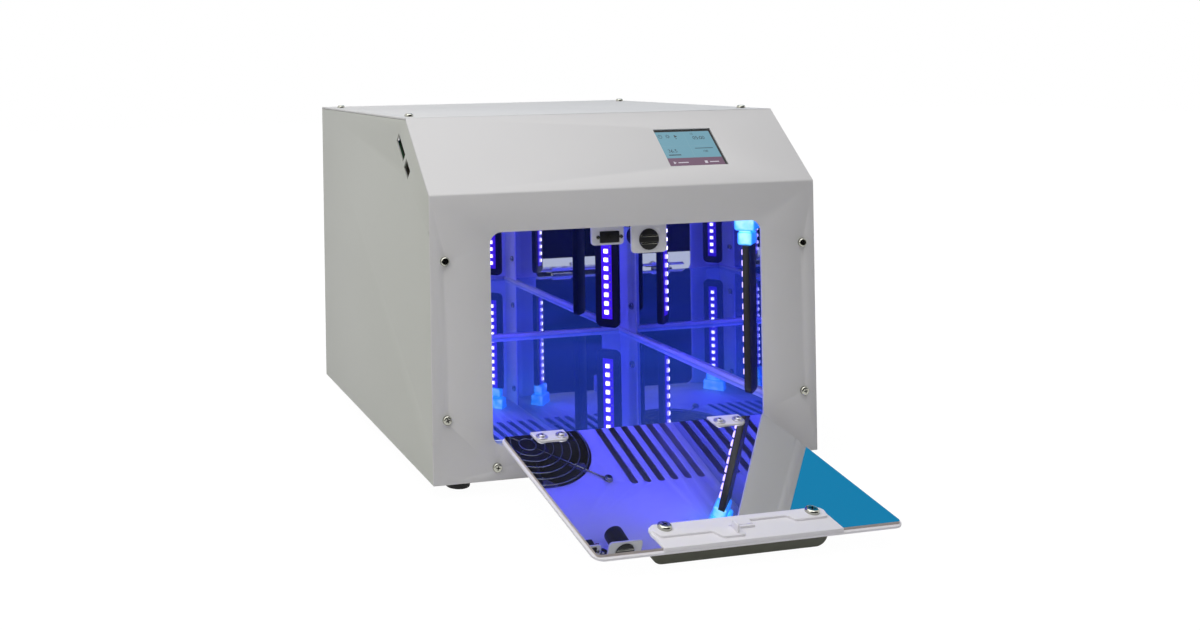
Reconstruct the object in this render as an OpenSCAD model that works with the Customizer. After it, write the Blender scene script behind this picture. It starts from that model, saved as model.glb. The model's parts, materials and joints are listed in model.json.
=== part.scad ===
// Dental lab light curing unit: a folded sheet metal cabinet with a mirrored chamber,
// four bars of violet light, a ceiling fan and a front door that folds down.
// The modules work from the front face (Y = 0), the casing's underside (Z = 0) and its middle (X = 0).

/* [Casing] */
// Width over the side panels
casing_w = 360; // [330:1:420]
// Depth from the front face to the rear panel
casing_d = 376; // [350:1:440]
// Height from the underside to the top, without the feet
casing_h = 303; // [270:1:350]
// How far back the sloping fascia reaches
slope_run = 62; // [56:1:76]
// How far the sloping fascia rises
slope_rise = 62; // [56:1:76]
// Thickness of the casing sheet
sheet_t = 1.5; // [1:0.1:2]
// Outer radius of the folds over the front
fold_r = 3; // [2:0.5:6]
// Width of the inward flanges that take the screws
flange_w = 20; // [16:1:24]
// Diameter of a foot
foot_d = 21; // [16:1:28]
// Height of a foot
foot_h = 12.5; // [11:0.5:16]
// Distance of the feet from the sides
foot_inset_x = 32; // [24:1:50]
// Distance of the feet from the front and rear
foot_inset_y = 31; // [24:1:50]

/* [Front opening] */
// Width of the opening
opening_w = 254; // [236:1:262]
// Height of its lower edge
opening_low = 28.5; // [26:0.5:34]
// Height of the casing above the opening, where the electronics sit
head_room = 95; // [93:1:115]
// Corner radius
opening_r = 10; // [4:1:16]

/* [Door] */
// Gap at each side of the closed door
door_gap_side = 3; // [1:0.5:6]
// Gap above and below the closed door
door_gap_end = 1; // [0.6:0.1:2]
// Thickness of the door sheet
door_t = 2; // [1.5:0.1:2.5]
// Corner radius of the door sheet
door_r = 8; // [3:1:14]
// Thickness of the door mirror
door_mirror_t = 2; // [1.5:0.1:3]
// White rim left round the door mirror
door_rim = 2.5; // [2:0.5:6]
// Distance of the hinge line in front of the front face
hinge_out = 5.5; // [5:0.1:7]
// Height of the hinge line above the opening's lower edge
hinge_up = 1.5; // [0.5:0.5:3]
// Space left between the open door's handle and the table
rest_gap = 0.5; // [0.3:0.1:2]
// Distance of each hinge from the middle
hinge_x = 82; // [60:1:100]
// Width of a hinge
hinge_w = 30; // [28:1:40]
// Radius of the hinge pin
pin_r = 1.5; // [1:0.1:1.8]
// Radius of the hinge knuckle
knuckle_r = 3.2; // [2.8:0.1:3.6]
// Width of the latch plate and the handle
latch_w = 143; // [120:1:170]
// Depth of the latch plate along the door
latch_d = 27.5; // [22:0.5:32]
// Thickness of the latch plate
latch_t = 3; // [2:0.2:3.4]
// How far the handle stands out from the door
handle_out = 18.6; // [16:0.2:24]
// Thickness of the handle
handle_t = 18.5; // [12:0.5:20]
// Distance of the handle from the door's free edge
handle_back = 16; // [15:0.5:24]
// Distance of each handle screw from the middle
handle_screw_x = 60; // [48:1:66]

/* [Chamber] */
// Thickness of the mirror panels
mirror_t = 3; // [2:0.5:4]
// Height of the white trim round the mirrored floor
trim_h = 3.7; // [2:0.1:6]
// Space between the chamber's back wall and the rear panel
rear_gap = 10.4; // [8:0.2:20]
// Width of the corner posts along the side walls
post_side_w = 40; // [24:1:44]
// Width of the corner posts along the front and back
post_end_w = 24; // [12:1:30]
// Distance of a light bar from the casing's side
bar_inset_x = 39; // [36:1:48]
// Distance of a front light bar from the front face
bar_inset_y = 40.4; // [36:0.5:50]
// Width of a light bar
bar_w = 27; // [22:1:30]
// Thickness of a light bar
bar_t = 6; // [4:0.5:8]
// Height of the lower end of the light bars
bar_low = 44.5; // [42:0.5:50]
// Size of one light diode
led_w = 5; // [3:0.5:6]
// Spacing of the light diodes
led_pitch = 10; // [8:0.5:14]
// Height of the lowest light diode
led_low = 62.3; // [56:0.5:66]
// Least space between the top diode and the bar cap
led_margin = 5; // [2:0.5:9]
// Height of a bar cap
cap_h = 28; // [24:0.5:30]

/* [Fan] */
// Side of the square fan frame
fan_size = 140; // [120:1:140]
// Thickness of the fan frame
fan_t = 25; // [20:1:32]
// Spacing of the fan's screws
fan_hole_spacing = 124.5; // [105:0.5:124.5]
// Diameter of the hole in the ceiling
fan_hole_d = 132; // [114:1:132]
// Number of fan blades
blade_count = 7; // [5:1:9]
// Number of rings in the fan guard
ring_count = 7; // [4:1:7]
// Spacing of the guard's rings
ring_pitch = 9; // [7:0.5:9]
// Radius of the guard's wire
wire_r = 0.8; // [0.6:0.1:1.2]

/* [Ceiling vents] */
// Spacing of the vent slots
vent_pitch = 15; // [13:0.5:15.5]
// Width of a vent slot
vent_w = 8; // [6:0.5:9]
// Length of a vent slot
vent_l = 142; // [100:1:150]
// Distance of the outermost vent slot from the casing's side
vent_inset = 17; // [16:0.5:24]
// Least space between the vent slots and the fan's hole
vent_edge = 8; // [6:0.5:12]

/* [Display and ports] */
// Width of the display window
window_w = 57; // [48:0.5:64]
// Height of the display window along the slope
window_h = 43.5; // [36:0.5:50]
// Distance of the window from the middle of the front
window_x = 78; // [60:1:110]
// Length of the card slot along the slope
card_slot_l = 25.5; // [24:0.5:28]
// Width of the card slot
card_slot_w = 10.5; // [8:0.5:11]
// Length of the data port's slot along the slope
port_slot_l = 14.5; // [13:0.5:16]
// Width of the data port's slot
port_slot_w = 12; // [11:0.5:12.5]
// Depth of the ports' outer side below the slope
port_depth = 24.5; // [22:0.5:27]
// Distance up the slope to the data port's slot
port_up = 47.5; // [44:0.5:50]

/* [Catch and switch] */
// Place of the magnetic catch from the middle
catch_x = 23.5; // [23:0.5:40]
// Radius of the magnetic catch
catch_r = 9.2; // [7:0.1:10]
// Width of the catch bracket
catch_plate_w = 33.5; // [28:0.5:36]
// Place of the door switch from the middle
switch_x = -10.5; // [-20:0.5:-8]
// Width of the door switch
switch_w = 18; // [14:0.5:20]
// Height of the door switch
switch_h = 9.8; // [8:0.1:10]
// Width of the switch bracket
switch_plate_w = 31; // [29:0.5:32]
// Travel of the switch plunger
plunger_travel = 1.2; // [0.6:0.1:1.5]

/* [Screws] */
// Diameter of the casing screws' shank
screw_d = 4; // [3:0.5:4.5]
// Diameter of their pan heads
head_d = 8; // [6:0.5:9]
// Height of their pan heads
head_h = 2.8; // [2:0.1:3.2]

/* [Mains] */
// Distance of the mains inlet from the casing's side
inlet_inset = 68; // [55:1:80]
// Distance between the mains inlet and the power switch
power_gap = 54; // [46:1:72]
// Height of both above the ceiling of the chamber
mains_up = 50; // [36:1:60]
// Tilt of the power rocker to each side
rocker_tilt = 9; // [6:1:12]

/* [Hidden] */
// Small fixed sizes
seam = 0.4;
hole_gap = 0.15;
run_gap = 0.05;
part_gap = 0.3;
cut = 1;
post_t = 1.2;
trim_w = 4;
plate_t = 1.5;
leaf_t = 1.5;
hinge_plate_t = 3;
hinge_plate_d = 16;
hinge_plate_r = 8;
hinge_screw_pitch = 17.5;
hinge_screw_up = 10;
washer_r = 5;
washer_t = 1;
latch_r = 5;
handle_r = 9;
handle_screw_up = 13;
knob_r = 5.2;
knob_h = 3;
fin_t = 1.5;
fin_h = 5.5;
fin_l = 8;
slit_w = 20;
slit_h = 0.8;
handle_screw_in = 12;
inlet_screw_l = 10;
low_flange_h = 20;
low_screw_z = 11;
hinge_leaf_l = 17;
nut_r = 3.4;
nut_t = 2.4;
rear_vent_count = 12;
rear_vent_inset = 40;
rear_vent_pitch = 11;
rear_vent_w = 5;
rear_vent_h = 44;
rear_vent_up = 24;
cap_back = 5;
cap_front = 8;
cap_w = 22;
cap_body_h = 12;
cap_waist = 2;
cap_brim_back = 8;
cap_brim_front = 10;
cap_brim_w = 30;
cap_brim_h = 14.5;
cap_screw_gap = 9;
strip_end = 8;
catch_foot_l = 20;
catch_foot_screw = 13;
switch_foot_l = 26;
switch_foot_screw = 6;
foot_screw_end = 6;
tab_r = 3.5;
switch_plate_off = 1.7;
wire_hole_r = 2.6;
wire_side_gap = 1.6;
pole_w = 12;
pole_h = 1.8;
pole_up = 3.2;
inlet_flange_t = 3.4;
inlet_flange_w = 50;
inlet_flange_h = 24;
inlet_l = 24;
inlet_screw_x = 20;
socket_w = 27.5;
socket_h = 19.6;
socket_l = 14;
socket_wall = 1.8;
pin_w = 2;
pin_h = 4;
rocker_case_w = 13;
rocker_case_h = 19;
rocker_case_l = 18;
rocker_rim = 2;
rocker_well = 14;
rocker_r = 7.6;
rocker_w = 10;
rocker_in = 6;
axle_end = 1;
screen_t = 3;
screen_edge_w = 6;
screen_edge_h = 3.5;
screen_board_edge = 14.5;
screen_post_in = 3.5;
screen_post_r = 2.5;
plug_w = 28;
plug_d = 9;
plug_t = 2;
main_board_w = 110;
main_board_up = 14;
main_board_end = 2;
post_hole_side = 38;
post_hole_end = 6;
post_hole_pitch = 54;
post_hole_r = 1.6;
standoff_r = 3;
chip_t = 2;
supply_w = 110;
supply_d = 86;
supply_h = 38;
supply_gap = 8;
supply_vents = 8;
supply_vent_w = 5;
supply_vent_pitch = 11;
supply_vent_in = 12;
driver_w = 90;
driver_d = 70;
driver_gap = 12;
sink_in = 10;
sink_w = 46;
sink_d = 40;
sink_base = 4;
sink_h = 16;
sink_fins = 8;
sink_fin_w = 2;
coil_w = 16;
coil_d = 22;
coil_h = 14;
bay_gap = 12;
flange_t = 4;
board_t = 1.6;
led_t = 2.2;
strip_w = 12;
strip_t = 1;
hub_r = 23;
stator_t = 3;
strut_w = 7;
blade_t = 2.2;
blade_tilt = 38;
axle_r = 2;
eye_r = 5;

// Casing
half_w = casing_w / 2;
opening_top = casing_h - head_room;
in_x = half_w - sheet_t;
rear_in = casing_d - sheet_t;
flange_y = 2 * sheet_t;
rear_flange_y = rear_in - sheet_t;
slope_a = atan(slope_rise / slope_run);
slope_l = sqrt(slope_run * slope_run + slope_rise * slope_rise);
bend_z = casing_h - slope_rise;
side_screw_x = half_w - sheet_t - flange_w / 2 - 1;
front_screw_high = opening_top - 22;
front_screw_low = opening_low + 25.5;
low_screw_x = opening_w / 2 - 3;
low_flange_half = half_w - sheet_t - flange_w - 8;
top_screw_front = slope_run + 29;
top_screw_rear = casing_d - 38;
foot_x = half_w - foot_inset_x;
foot_front = foot_inset_y;
foot_rear = casing_d - foot_inset_y;

// Chamber
deck_top = opening_low;
floor_top = deck_top + mirror_t;
ceiling_z = opening_top;
ceiling_top = ceiling_z + sheet_t;
wall_x = in_x - mirror_t;
wall_y = rear_in - rear_gap - sheet_t;
back_face = wall_y - mirror_t;
floor_front = door_t + hinge_plate_t + 2;
trim_top = floor_top + trim_h;
mid_y = (flange_y + back_face) / 2;
bar_x = half_w - bar_inset_x;
bar_front = bar_inset_y;
bar_rear = 2 * mid_y - bar_inset_y;
bar_end_r = bar_w / 4;
cap_low = ceiling_z - cap_h;
cap_l = cap_back + cap_front;
cap_neck = cap_low + cap_body_h;
cap_brim_z = ceiling_z - cap_brim_h;
led_count = floor((cap_low - led_margin - led_w / 2 - led_low) / led_pitch) + 1;
vent_count = floor((half_w - vent_inset - vent_w / 2 - vent_edge - fan_hole_d / 2) / vent_pitch) + 1;

// Fan
fan_z = ceiling_top;
fan_bore = fan_size / 2 - 3;
blade_tip = fan_bore - 2;
blade_w = blade_tip + 1;
guard_z = ceiling_z - 2 * wire_r;
spoke_l = fan_hole_spacing / sqrt(2) - ring_pitch - 2;

// Door
hinge_y = -hinge_out;
hinge_z = opening_low + hinge_up;
door_low = opening_low + door_gap_end;
door_top = opening_top - door_gap_end;
door_half = opening_w / 2 - door_gap_side;
door_h = door_top - door_low;
mirror_face = door_t + door_mirror_t;
latch_low = door_top - latch_d;
latch_face = mirror_face + latch_t;
latch_lip = door_rim - part_gap;
handle_top = door_top - handle_back;
handle_low = handle_top - handle_t;
handle_arm = handle_top - hinge_z;
handle_drop = handle_out - hinge_out;
handle_reach = sqrt(handle_arm * handle_arm + handle_drop * handle_drop);
open_angle = 90 + asin((hinge_z + foot_h - rest_gap) / handle_reach) - atan(handle_drop / handle_arm);
leaf_step = knuckle_r + 1;
leaf_low = leaf_step + hinge_leaf_l;
handle_screw_l = latch_face + handle_screw_in;

// Catch and switch
catch_z = ceiling_z - 13.6;
catch_front = latch_face + part_gap;
catch_plate_y = catch_front + 1.5;
catch_screw_y = catch_plate_y + catch_foot_l - foot_screw_end;
catch_l = 25;
switch_z = ceiling_z - 11;
plunger_tip = latch_face + fin_h + part_gap;
switch_front = plunger_tip + plunger_travel + part_gap;
switch_plate_y = switch_front + 1.2;
switch_screw_y = switch_plate_y + switch_foot_l - foot_screw_end;
switch_l = 12;
plunger_r = 1.6;
plunger_l = 5;
switch_plate_x = switch_x - switch_plate_off;
wire_x = switch_plate_x + switch_plate_w / 2 + wire_side_gap;
wire_y = switch_plate_y + 8;
wire_gap = 1;
sheath_r = 0.8;

// Electronics
window_up = slope_l / 2;
board_z = -port_depth - port_slot_w;
board_left = -in_x + 1;
card_up = port_up + port_slot_l + 4.5;
board_l = card_up + card_slot_l + main_board_end - main_board_up;
board_hole_x = [post_hole_side, main_board_w - post_hole_end];
board_hole_y = [post_hole_end, post_hole_end + post_hole_pitch];
bay_y = mid_y + fan_size / 2 + bay_gap;
inlet_x = half_w - inlet_inset;
power_x = inlet_x - power_gap;
inlet_z = ceiling_z + mains_up;
rear_vent_z = ceiling_z + rear_vent_up;
supply_roof = supply_h - plate_t;

// The whole part rests on the table with its middle over the origin
front_y = hinge_y - (door_top - hinge_z) * sin(open_angle) + (latch_face + hinge_out) * cos(open_angle);
rear_y = casing_d + inlet_flange_t;
centre_y = (front_y + rear_y) / 2;

$fn = 48;

// Moves from the front face and underside frame to the part's own frame.
module placed() {
    translate([0, -centre_y, foot_h])
        children();
}

// Swings a piece drawn on the closed door to the open position.
module door_pose() {
    placed()
        translate([0, hinge_y, hinge_z])
            rotate([open_angle, 0, 0])
                translate([0, -hinge_y, -hinge_z])
                    children();
}

// Frame of the sloping fascia: Y runs up the slope and Z points out of it.
module on_slope() {
    translate([0, 0, bend_z])
        rotate([slope_a, 0, 0])
            children();
}

// Extrudes a side view across the width, centred.
module across(width) {
    translate([-width / 2, 0, 0])
        rotate([90, 0, 90])
            linear_extrude(width)
                children();
}

// Extrudes a front view backwards from the given place.
module upright(front, depth) {
    translate([0, front + depth, 0])
        rotate([90, 0, 0])
            linear_extrude(depth)
                children();
}

module both_sides() {
    children();
    mirror([1, 0, 0])
        children();
}

// Rectangle centred on the origin with all corners rounded.
module soft_rect(width, height, radius) {
    square([width - 2 * radius, height], center = true);
    square([width, height - 2 * radius], center = true);
    for (x = [-1, 1], y = [-1, 1])
        translate([x * (width / 2 - radius), y * (height / 2 - radius)])
            circle(radius);
}

// Tab hanging from its top edge at zero, with the two lower corners rounded.
module hanging_tab(width, drop, radius) {
    translate([-width / 2, -drop + radius])
        square([width, drop - radius]);
    translate([-width / 2 + radius, -drop])
        square([width - 2 * radius, 2 * radius]);
    for (x = [-1, 1])
        translate([x * (width / 2 - radius), -drop + radius])
            circle(radius);
}

function along(start, direction, distance) = start + direction * distance;
function inward(direction) = [direction[1], -direction[0]];

// Kite between a corner, its two tangent points and the centre of its fold.
module fold_kite(corner, before, after, turn, radius) {
    reach = radius * tan(turn / 2);
    first = along(corner, before, -reach);
    polygon([corner, first, along(first, inward(before), radius), along(corner, after, reach)]);
}

// What folding takes off a sharp corner: the kite without the fold's circle.
module fold_scrap(corner, before, after, turn, radius) {
    reach = radius * tan(turn / 2);
    first = along(corner, before, -reach);
    difference() {
        fold_kite(corner, before, after, turn, radius);
        translate(along(first, inward(before), radius))
            circle(radius);
    }
}

function slope_direction() = [cos(slope_a), sin(slope_a)];

// Lower and upper corners of the sloping fascia, set in by a distance.
function low_corner(inset) = [
    inset,
    bend_z - inset * cos(slope_a) + inset * (1 - sin(slope_a)) * tan(slope_a)
];
function top_corner(inset) = [
    inset * sin(slope_a) + (slope_rise - inset + inset * cos(slope_a)) / tan(slope_a),
    casing_h - inset
];

// Side view of the casing with sharp corners, set in by a distance, from its lower edge to its rear end.
module sharp_outline(inset, low, rear) {
    polygon([[inset, low], low_corner(inset), top_corner(inset), [rear, casing_h - inset], [rear, low]]);
}

// The same with its two folds rounded.
module casing_outline(inset, low, rear) {
    up = [0, 1];
    back = [1, 0];
    radius = fold_r - inset;
    difference() {
        sharp_outline(inset, low, rear);
        fold_scrap(low_corner(inset), up, slope_direction(), 90 - slope_a, radius);
        fold_scrap(top_corner(inset), slope_direction(), back, slope_a, radius);
    }
}

// Pan head screw with its head above zero and its shank below.
module pan_screw(length) {
    difference() {
        union() {
            cylinder(h = head_h / 2, r = head_d / 2);
            translate([0, 0, head_h / 2])
                cylinder(h = head_h / 2, r1 = head_d / 2, r2 = head_d / 3);
            translate([0, 0, -length])
                cylinder(h = length + head_h / 2, r = screw_d / 2);
        }
        for (turn = [0, 90])
            rotate([0, 0, turn])
                translate([-head_d / 4, -head_d / 16, head_h / 2])
                    cube([head_d / 2, head_d / 8, head_h]);
    }
}

module screw_hole(length) {
    translate([0, 0, -length])
        cylinder(h = length + cut, r = screw_d / 2 + hole_gap);
}

// Puts a screw or its hole on the front face, pointing back.
module front_screw_places() {
    for (z = [front_screw_low, front_screw_high])
        both_sides()
            translate([side_screw_x, 0, z])
                rotate([90, 0, 0])
                    children();
    both_sides()
        translate([low_screw_x, 0, low_screw_z])
            rotate([90, 0, 0])
                children();
}

module leaf_screw_places() {
    both_sides()
        for (x = [-1, 1])
            translate([hinge_x + x * hinge_screw_pitch / 2, 0, hinge_z - leaf_step - hinge_leaf_l / 2])
                rotate([90, 0, 0])
                    children();
}

module top_screw_places() {
    for (y = [top_screw_front, top_screw_rear])
        both_sides()
            translate([side_screw_x, y, casing_h])
                children();
}

module rear_screw_places() {
    for (z = [front_screw_low, front_screw_high, casing_h - 22])
        both_sides()
            translate([side_screw_x, casing_d, z])
                rotate([-90, 0, 0])
                    children();
    both_sides()
        translate([low_screw_x, casing_d, low_screw_z])
            rotate([-90, 0, 0])
                children();
}

module foot_places() {
    for (y = [foot_front, foot_rear])
        both_sides()
            translate([foot_x, y, 0])
                children();
}

module base_pan() {
    color("gainsboro")
        placed()
            difference() {
                union() {
                    translate([-in_x, sheet_t, 0])
                        cube([2 * in_x, rear_in - sheet_t, sheet_t]);
                    translate([-low_flange_half, sheet_t, 0])
                        cube([2 * low_flange_half, sheet_t, low_flange_h]);
                    translate([-low_flange_half, rear_flange_y, 0])
                        cube([2 * low_flange_half, sheet_t, low_flange_h]);
                }
                front_screw_places()
                    screw_hole(flange_y + cut);
                leaf_screw_places()
                    screw_hole(flange_y + cut);
                rear_screw_places()
                    screw_hole(flange_y + cut);
                foot_places()
                    screw_hole(0);
                foot_places()
                    cylinder(h = 2 * sheet_t, r = screw_d / 2 + hole_gap);
            }
}

// Flat side sheet with its front, top and rear flanges, drawn for the left side.
module side_sheet() {
    difference() {
        union() {
            translate([-half_w, 0, 0])
                rotate([90, 0, 90])
                    linear_extrude(sheet_t)
                        sharp_outline(sheet_t + seam, 0, rear_in);
            translate([-in_x, sheet_t, low_flange_h + 2])
                cube([flange_w, sheet_t, bend_z - low_flange_h - 12]);
            translate([-in_x, slope_run + 10, casing_h - 2 * sheet_t])
                cube([flange_w, rear_flange_y - slope_run - 10, sheet_t]);
            translate([-in_x, rear_flange_y, low_flange_h + 2])
                cube([flange_w, sheet_t, casing_h - low_flange_h - 4 - 2 * sheet_t]);
        }
        for (z = [trim_top - 3, ceiling_z])
            translate([-half_w - cut, 0, z])
                cube([sheet_t + cut, sheet_t + seam + 1.6, 3]);
        front_screw_places()
            screw_hole(flange_y + cut);
        top_screw_places()
            screw_hole(flange_y + cut);
        rear_screw_places()
            screw_hole(flange_y + cut);
    }
}

module left_side_panel() {
    color("gainsboro")
        placed()
            difference() {
                side_sheet();
                on_slope()
                    translate([-half_w - cut, card_up, -port_depth - card_slot_w])
                        cube([sheet_t + 2 * cut, card_slot_l, card_slot_w]);
                on_slope()
                    translate([-half_w - cut, port_up, -port_depth - port_slot_w])
                        cube([sheet_t + 2 * cut, port_slot_l, port_slot_w]);
            }
}

module right_side_panel() {
    color("gainsboro")
        placed()
            mirror([1, 0, 0])
                side_sheet();
}

module front_hood() {
    color("whitesmoke")
        placed()
            difference() {
                across(casing_w)
                    difference() {
                        casing_outline(0, 0, casing_d);
                        casing_outline(sheet_t, -cut, casing_d + cut);
                    }
                upright(-cut, sheet_t + 2 * cut)
                    translate([0, (opening_low + opening_top) / 2])
                        soft_rect(opening_w, opening_top - opening_low, opening_r);
                on_slope()
                    translate([window_x - window_w / 2, window_up - window_h / 2, -sheet_t - cut])
                        cube([window_w, window_h, sheet_t + 2 * cut]);
                front_screw_places()
                    screw_hole(flange_y + cut);
                leaf_screw_places()
                    screw_hole(flange_y + cut);
                top_screw_places()
                    screw_hole(flange_y + cut);
            }
}

module rear_panel() {
    color("gainsboro")
        placed()
            difference() {
                translate([-half_w, rear_in, 0])
                    cube([casing_w, sheet_t, casing_h - sheet_t]);
                for (i = [0 : rear_vent_count - 1])
                    translate([rear_vent_inset - in_x + i * rear_vent_pitch, rear_in - cut, rear_vent_z])
                        cube([rear_vent_w, sheet_t + 2 * cut, rear_vent_h]);
                upright(rear_in - cut, sheet_t + 2 * cut)
                    translate([inlet_x, inlet_z])
                        square([socket_w + part_gap, socket_h + part_gap], center = true);
                upright(rear_in - cut, sheet_t + 2 * cut)
                    translate([power_x, inlet_z])
                        square([rocker_case_w + part_gap, rocker_case_h + part_gap], center = true);
                rear_screw_places()
                    screw_hole(flange_y + cut);
                inlet_screw_places()
                    screw_hole(inlet_screw_l);
            }
}

module inlet_screw_places() {
    for (x = [-1, 1])
        translate([inlet_x + x * inlet_screw_x, casing_d + inlet_flange_t - head_h, inlet_z])
            rotate([-90, 0, 0])
                children();
}

module floor_deck() {
    color("gainsboro")
        placed()
            translate([-in_x, flange_y, deck_top - sheet_t])
                cube([2 * in_x, rear_flange_y - flange_y, sheet_t]);
}

module chamber_ceiling() {
    color("white")
        placed()
            difference() {
                translate([-in_x, flange_y, ceiling_z])
                    cube([2 * in_x, rear_flange_y - flange_y, sheet_t]);
                translate([0, mid_y, ceiling_z - cut])
                    cylinder(h = sheet_t + 2 * cut, r = fan_hole_d / 2, $fn = 96);
                both_sides()
                    for (i = [0 : vent_count - 1])
                        translate([half_w - vent_inset - i * vent_pitch, mid_y, ceiling_z - cut])
                            linear_extrude(sheet_t + 2 * cut)
                                soft_rect(vent_w, vent_l, vent_w / 2 - 0.5);
                ceiling_screw_places()
                    translate([0, 0, -4])
                        cylinder(h = 8, r = screw_d / 2 + hole_gap);
                translate([wire_x, wire_y, ceiling_z - cut])
                    cylinder(h = sheet_t + 2 * cut, r = wire_hole_r);
            }
}

// Every place where a screw goes through the ceiling, at the height of the ceiling.
module ceiling_screw_places() {
    guard_screw_places()
        children();
    cap_screw_places()
        children();
    bracket_screw_places()
        children();
}

module guard_screw_places() {
    for (x = [-1, 1], y = [-1, 1])
        translate([x * fan_hole_spacing / 2, mid_y + y * fan_hole_spacing / 2, ceiling_z])
            children();
}

module cap_screw_places() {
    for (front = [1, -1])
        both_sides()
            at_bar(1, front)
                for (y = [-1, 1])
                    translate([0, y * cap_screw_gap, ceiling_z])
                        children();
}

module bracket_screw_places() {
    for (x = [-1, 1])
        translate([catch_x + x * catch_foot_screw, catch_screw_y, ceiling_z])
            children();
    for (x = [-1, 1])
        translate([switch_x + x * switch_foot_screw, switch_screw_y, ceiling_z])
            children();
}

// Frame of a light bar: X points from the bar to the middle of the chamber.
module at_bar(side, front) {
    translate([side * bar_x, front > 0 ? bar_front : bar_rear, 0])
        rotate([0, 0, side > 0 ? (front > 0 ? 135 : -135) : (front > 0 ? 45 : -45)])
            children();
}

module chamber_back_wall() {
    color("white")
        placed()
            translate([-in_x, wall_y, deck_top])
                cube([2 * in_x, sheet_t, ceiling_z - deck_top]);
}

module corner_post(front) {
    low = trim_top;
    rise = ceiling_z - low;
    side_y = front ? flange_y : back_face - post_side_w;
    end_y = front ? flange_y : back_face - post_t;
    difference() {
        union() {
            translate([wall_x - post_t, side_y, low])
                cube([post_t, post_side_w, rise]);
            translate([wall_x - post_end_w, end_y, low])
                cube([post_end_w, post_t, rise]);
        }
        post_screw_places(front)
            screw_hole(6);
    }
}

module post_screw_places(front) {
    reach = post_side_w - 9;
    for (z = [trim_top + 30, ceiling_z - 22])
        translate([wall_x - post_t, front ? flange_y + reach : back_face - reach, z])
            rotate([0, -90, 0])
                children();
}

module corner_posts() {
    color("white")
        placed()
            both_sides() {
                corner_post(true);
                corner_post(false);
            }
}

module mirror_floor() {
    color("silver")
        placed()
            translate([-wall_x, floor_front, deck_top])
                cube([2 * wall_x, back_face - floor_front, mirror_t]);
}

module side_mirror() {
    difference() {
        translate([wall_x, flange_y, deck_top])
            cube([mirror_t, wall_y - flange_y, ceiling_z - deck_top]);
        for (front = [true, false])
            post_screw_places(front)
                screw_hole(6);
    }
}

module mirror_left() {
    color("silver")
        placed()
            mirror([1, 0, 0])
                side_mirror();
}

module mirror_right() {
    color("silver")
        placed()
            side_mirror();
}

module mirror_back() {
    color("silver")
        placed()
            translate([-wall_x, back_face, deck_top])
                cube([2 * wall_x, mirror_t, ceiling_z - deck_top]);
}

module floor_trim() {
    color("white")
        placed()
            difference() {
                translate([-wall_x, floor_front, floor_top])
                    cube([2 * wall_x, back_face - floor_front, trim_h]);
                translate([-wall_x + trim_w, floor_front - cut, floor_top - cut])
                    cube([2 * (wall_x - trim_w), back_face - floor_front - trim_w + cut, trim_h + 2 * cut]);
            }
}

module light_bar(side, front) {
    color("dimgray")
        placed()
            at_bar(side, front)
                translate([-bar_t / 2, 0, cap_low])
                    rotate([90, 0, 90])
                        linear_extrude(bar_t)
                            hanging_tab(bar_w, cap_low - bar_low, bar_end_r);
}

module led_strip(side, front) {
    color("white")
        placed()
            at_bar(side, front) {
                translate([bar_t / 2, -strip_w / 2, led_low - strip_end])
                    cube([strip_t, strip_w, cap_low - led_low + strip_end]);
                for (i = [0 : led_count - 1])
                    translate([bar_t / 2, -led_w / 2, led_low + i * led_pitch - led_w / 2])
                        cube([strip_t + led_t, led_w, led_w]);
            }
}

module bar_cap(side, front) {
    color("lightskyblue")
        placed()
            at_bar(side, front)
                difference() {
                    union() {
                        translate([-cap_back, -cap_w / 2, cap_low])
                            cube([cap_l, cap_w, cap_body_h]);
                        translate([cap_waist - cap_back, cap_waist - cap_w / 2, cap_neck])
                            cube([cap_l - 2 * cap_waist, cap_w - 2 * cap_waist, cap_brim_z - cap_neck]);
                        translate([-cap_brim_back, -cap_brim_w / 2, cap_brim_z])
                            cube([cap_brim_back + cap_brim_front, cap_brim_w, cap_brim_h]);
                    }
                    for (y = [-1, 1])
                        translate([0, y * cap_screw_gap, ceiling_z - 10])
                            cylinder(h = 10 + cut, r = screw_d / 2 + hole_gap);
                }
}

module led_bar_front_left() { light_bar(-1, 1); }
module led_bar_front_right() { light_bar(1, 1); }
module led_bar_rear_left() { light_bar(-1, -1); }
module led_bar_rear_right() { light_bar(1, -1); }
module led_strip_front_left() { led_strip(-1, 1); }
module led_strip_front_right() { led_strip(1, 1); }
module led_strip_rear_left() { led_strip(-1, -1); }
module led_strip_rear_right() { led_strip(1, -1); }
module bar_cap_front_left() { bar_cap(-1, 1); }
module bar_cap_front_right() { bar_cap(1, 1); }
module bar_cap_rear_left() { bar_cap(-1, -1); }
module bar_cap_rear_right() { bar_cap(1, -1); }

// Screws seen from inside the chamber, and those that hold the bar caps from above.
module chamber_screws() {
    color("silver")
        placed() {
            guard_screw_places()
                translate([0, 0, -2 * wire_r])
                    rotate([180, 0, 0])
                        pan_screw(2 * wire_r + sheet_t + 10);
            cap_screw_places()
                translate([0, 0, sheet_t])
                    pan_screw(sheet_t + 8);
            bracket_screw_places()
                translate([0, 0, -plate_t])
                    rotate([180, 0, 0])
                        pan_screw(plate_t + sheet_t + 3);
            both_sides()
                for (front = [true, false])
                    post_screw_places(front)
                        pan_screw(post_t + mirror_t - 0.2);
        }
}

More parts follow.
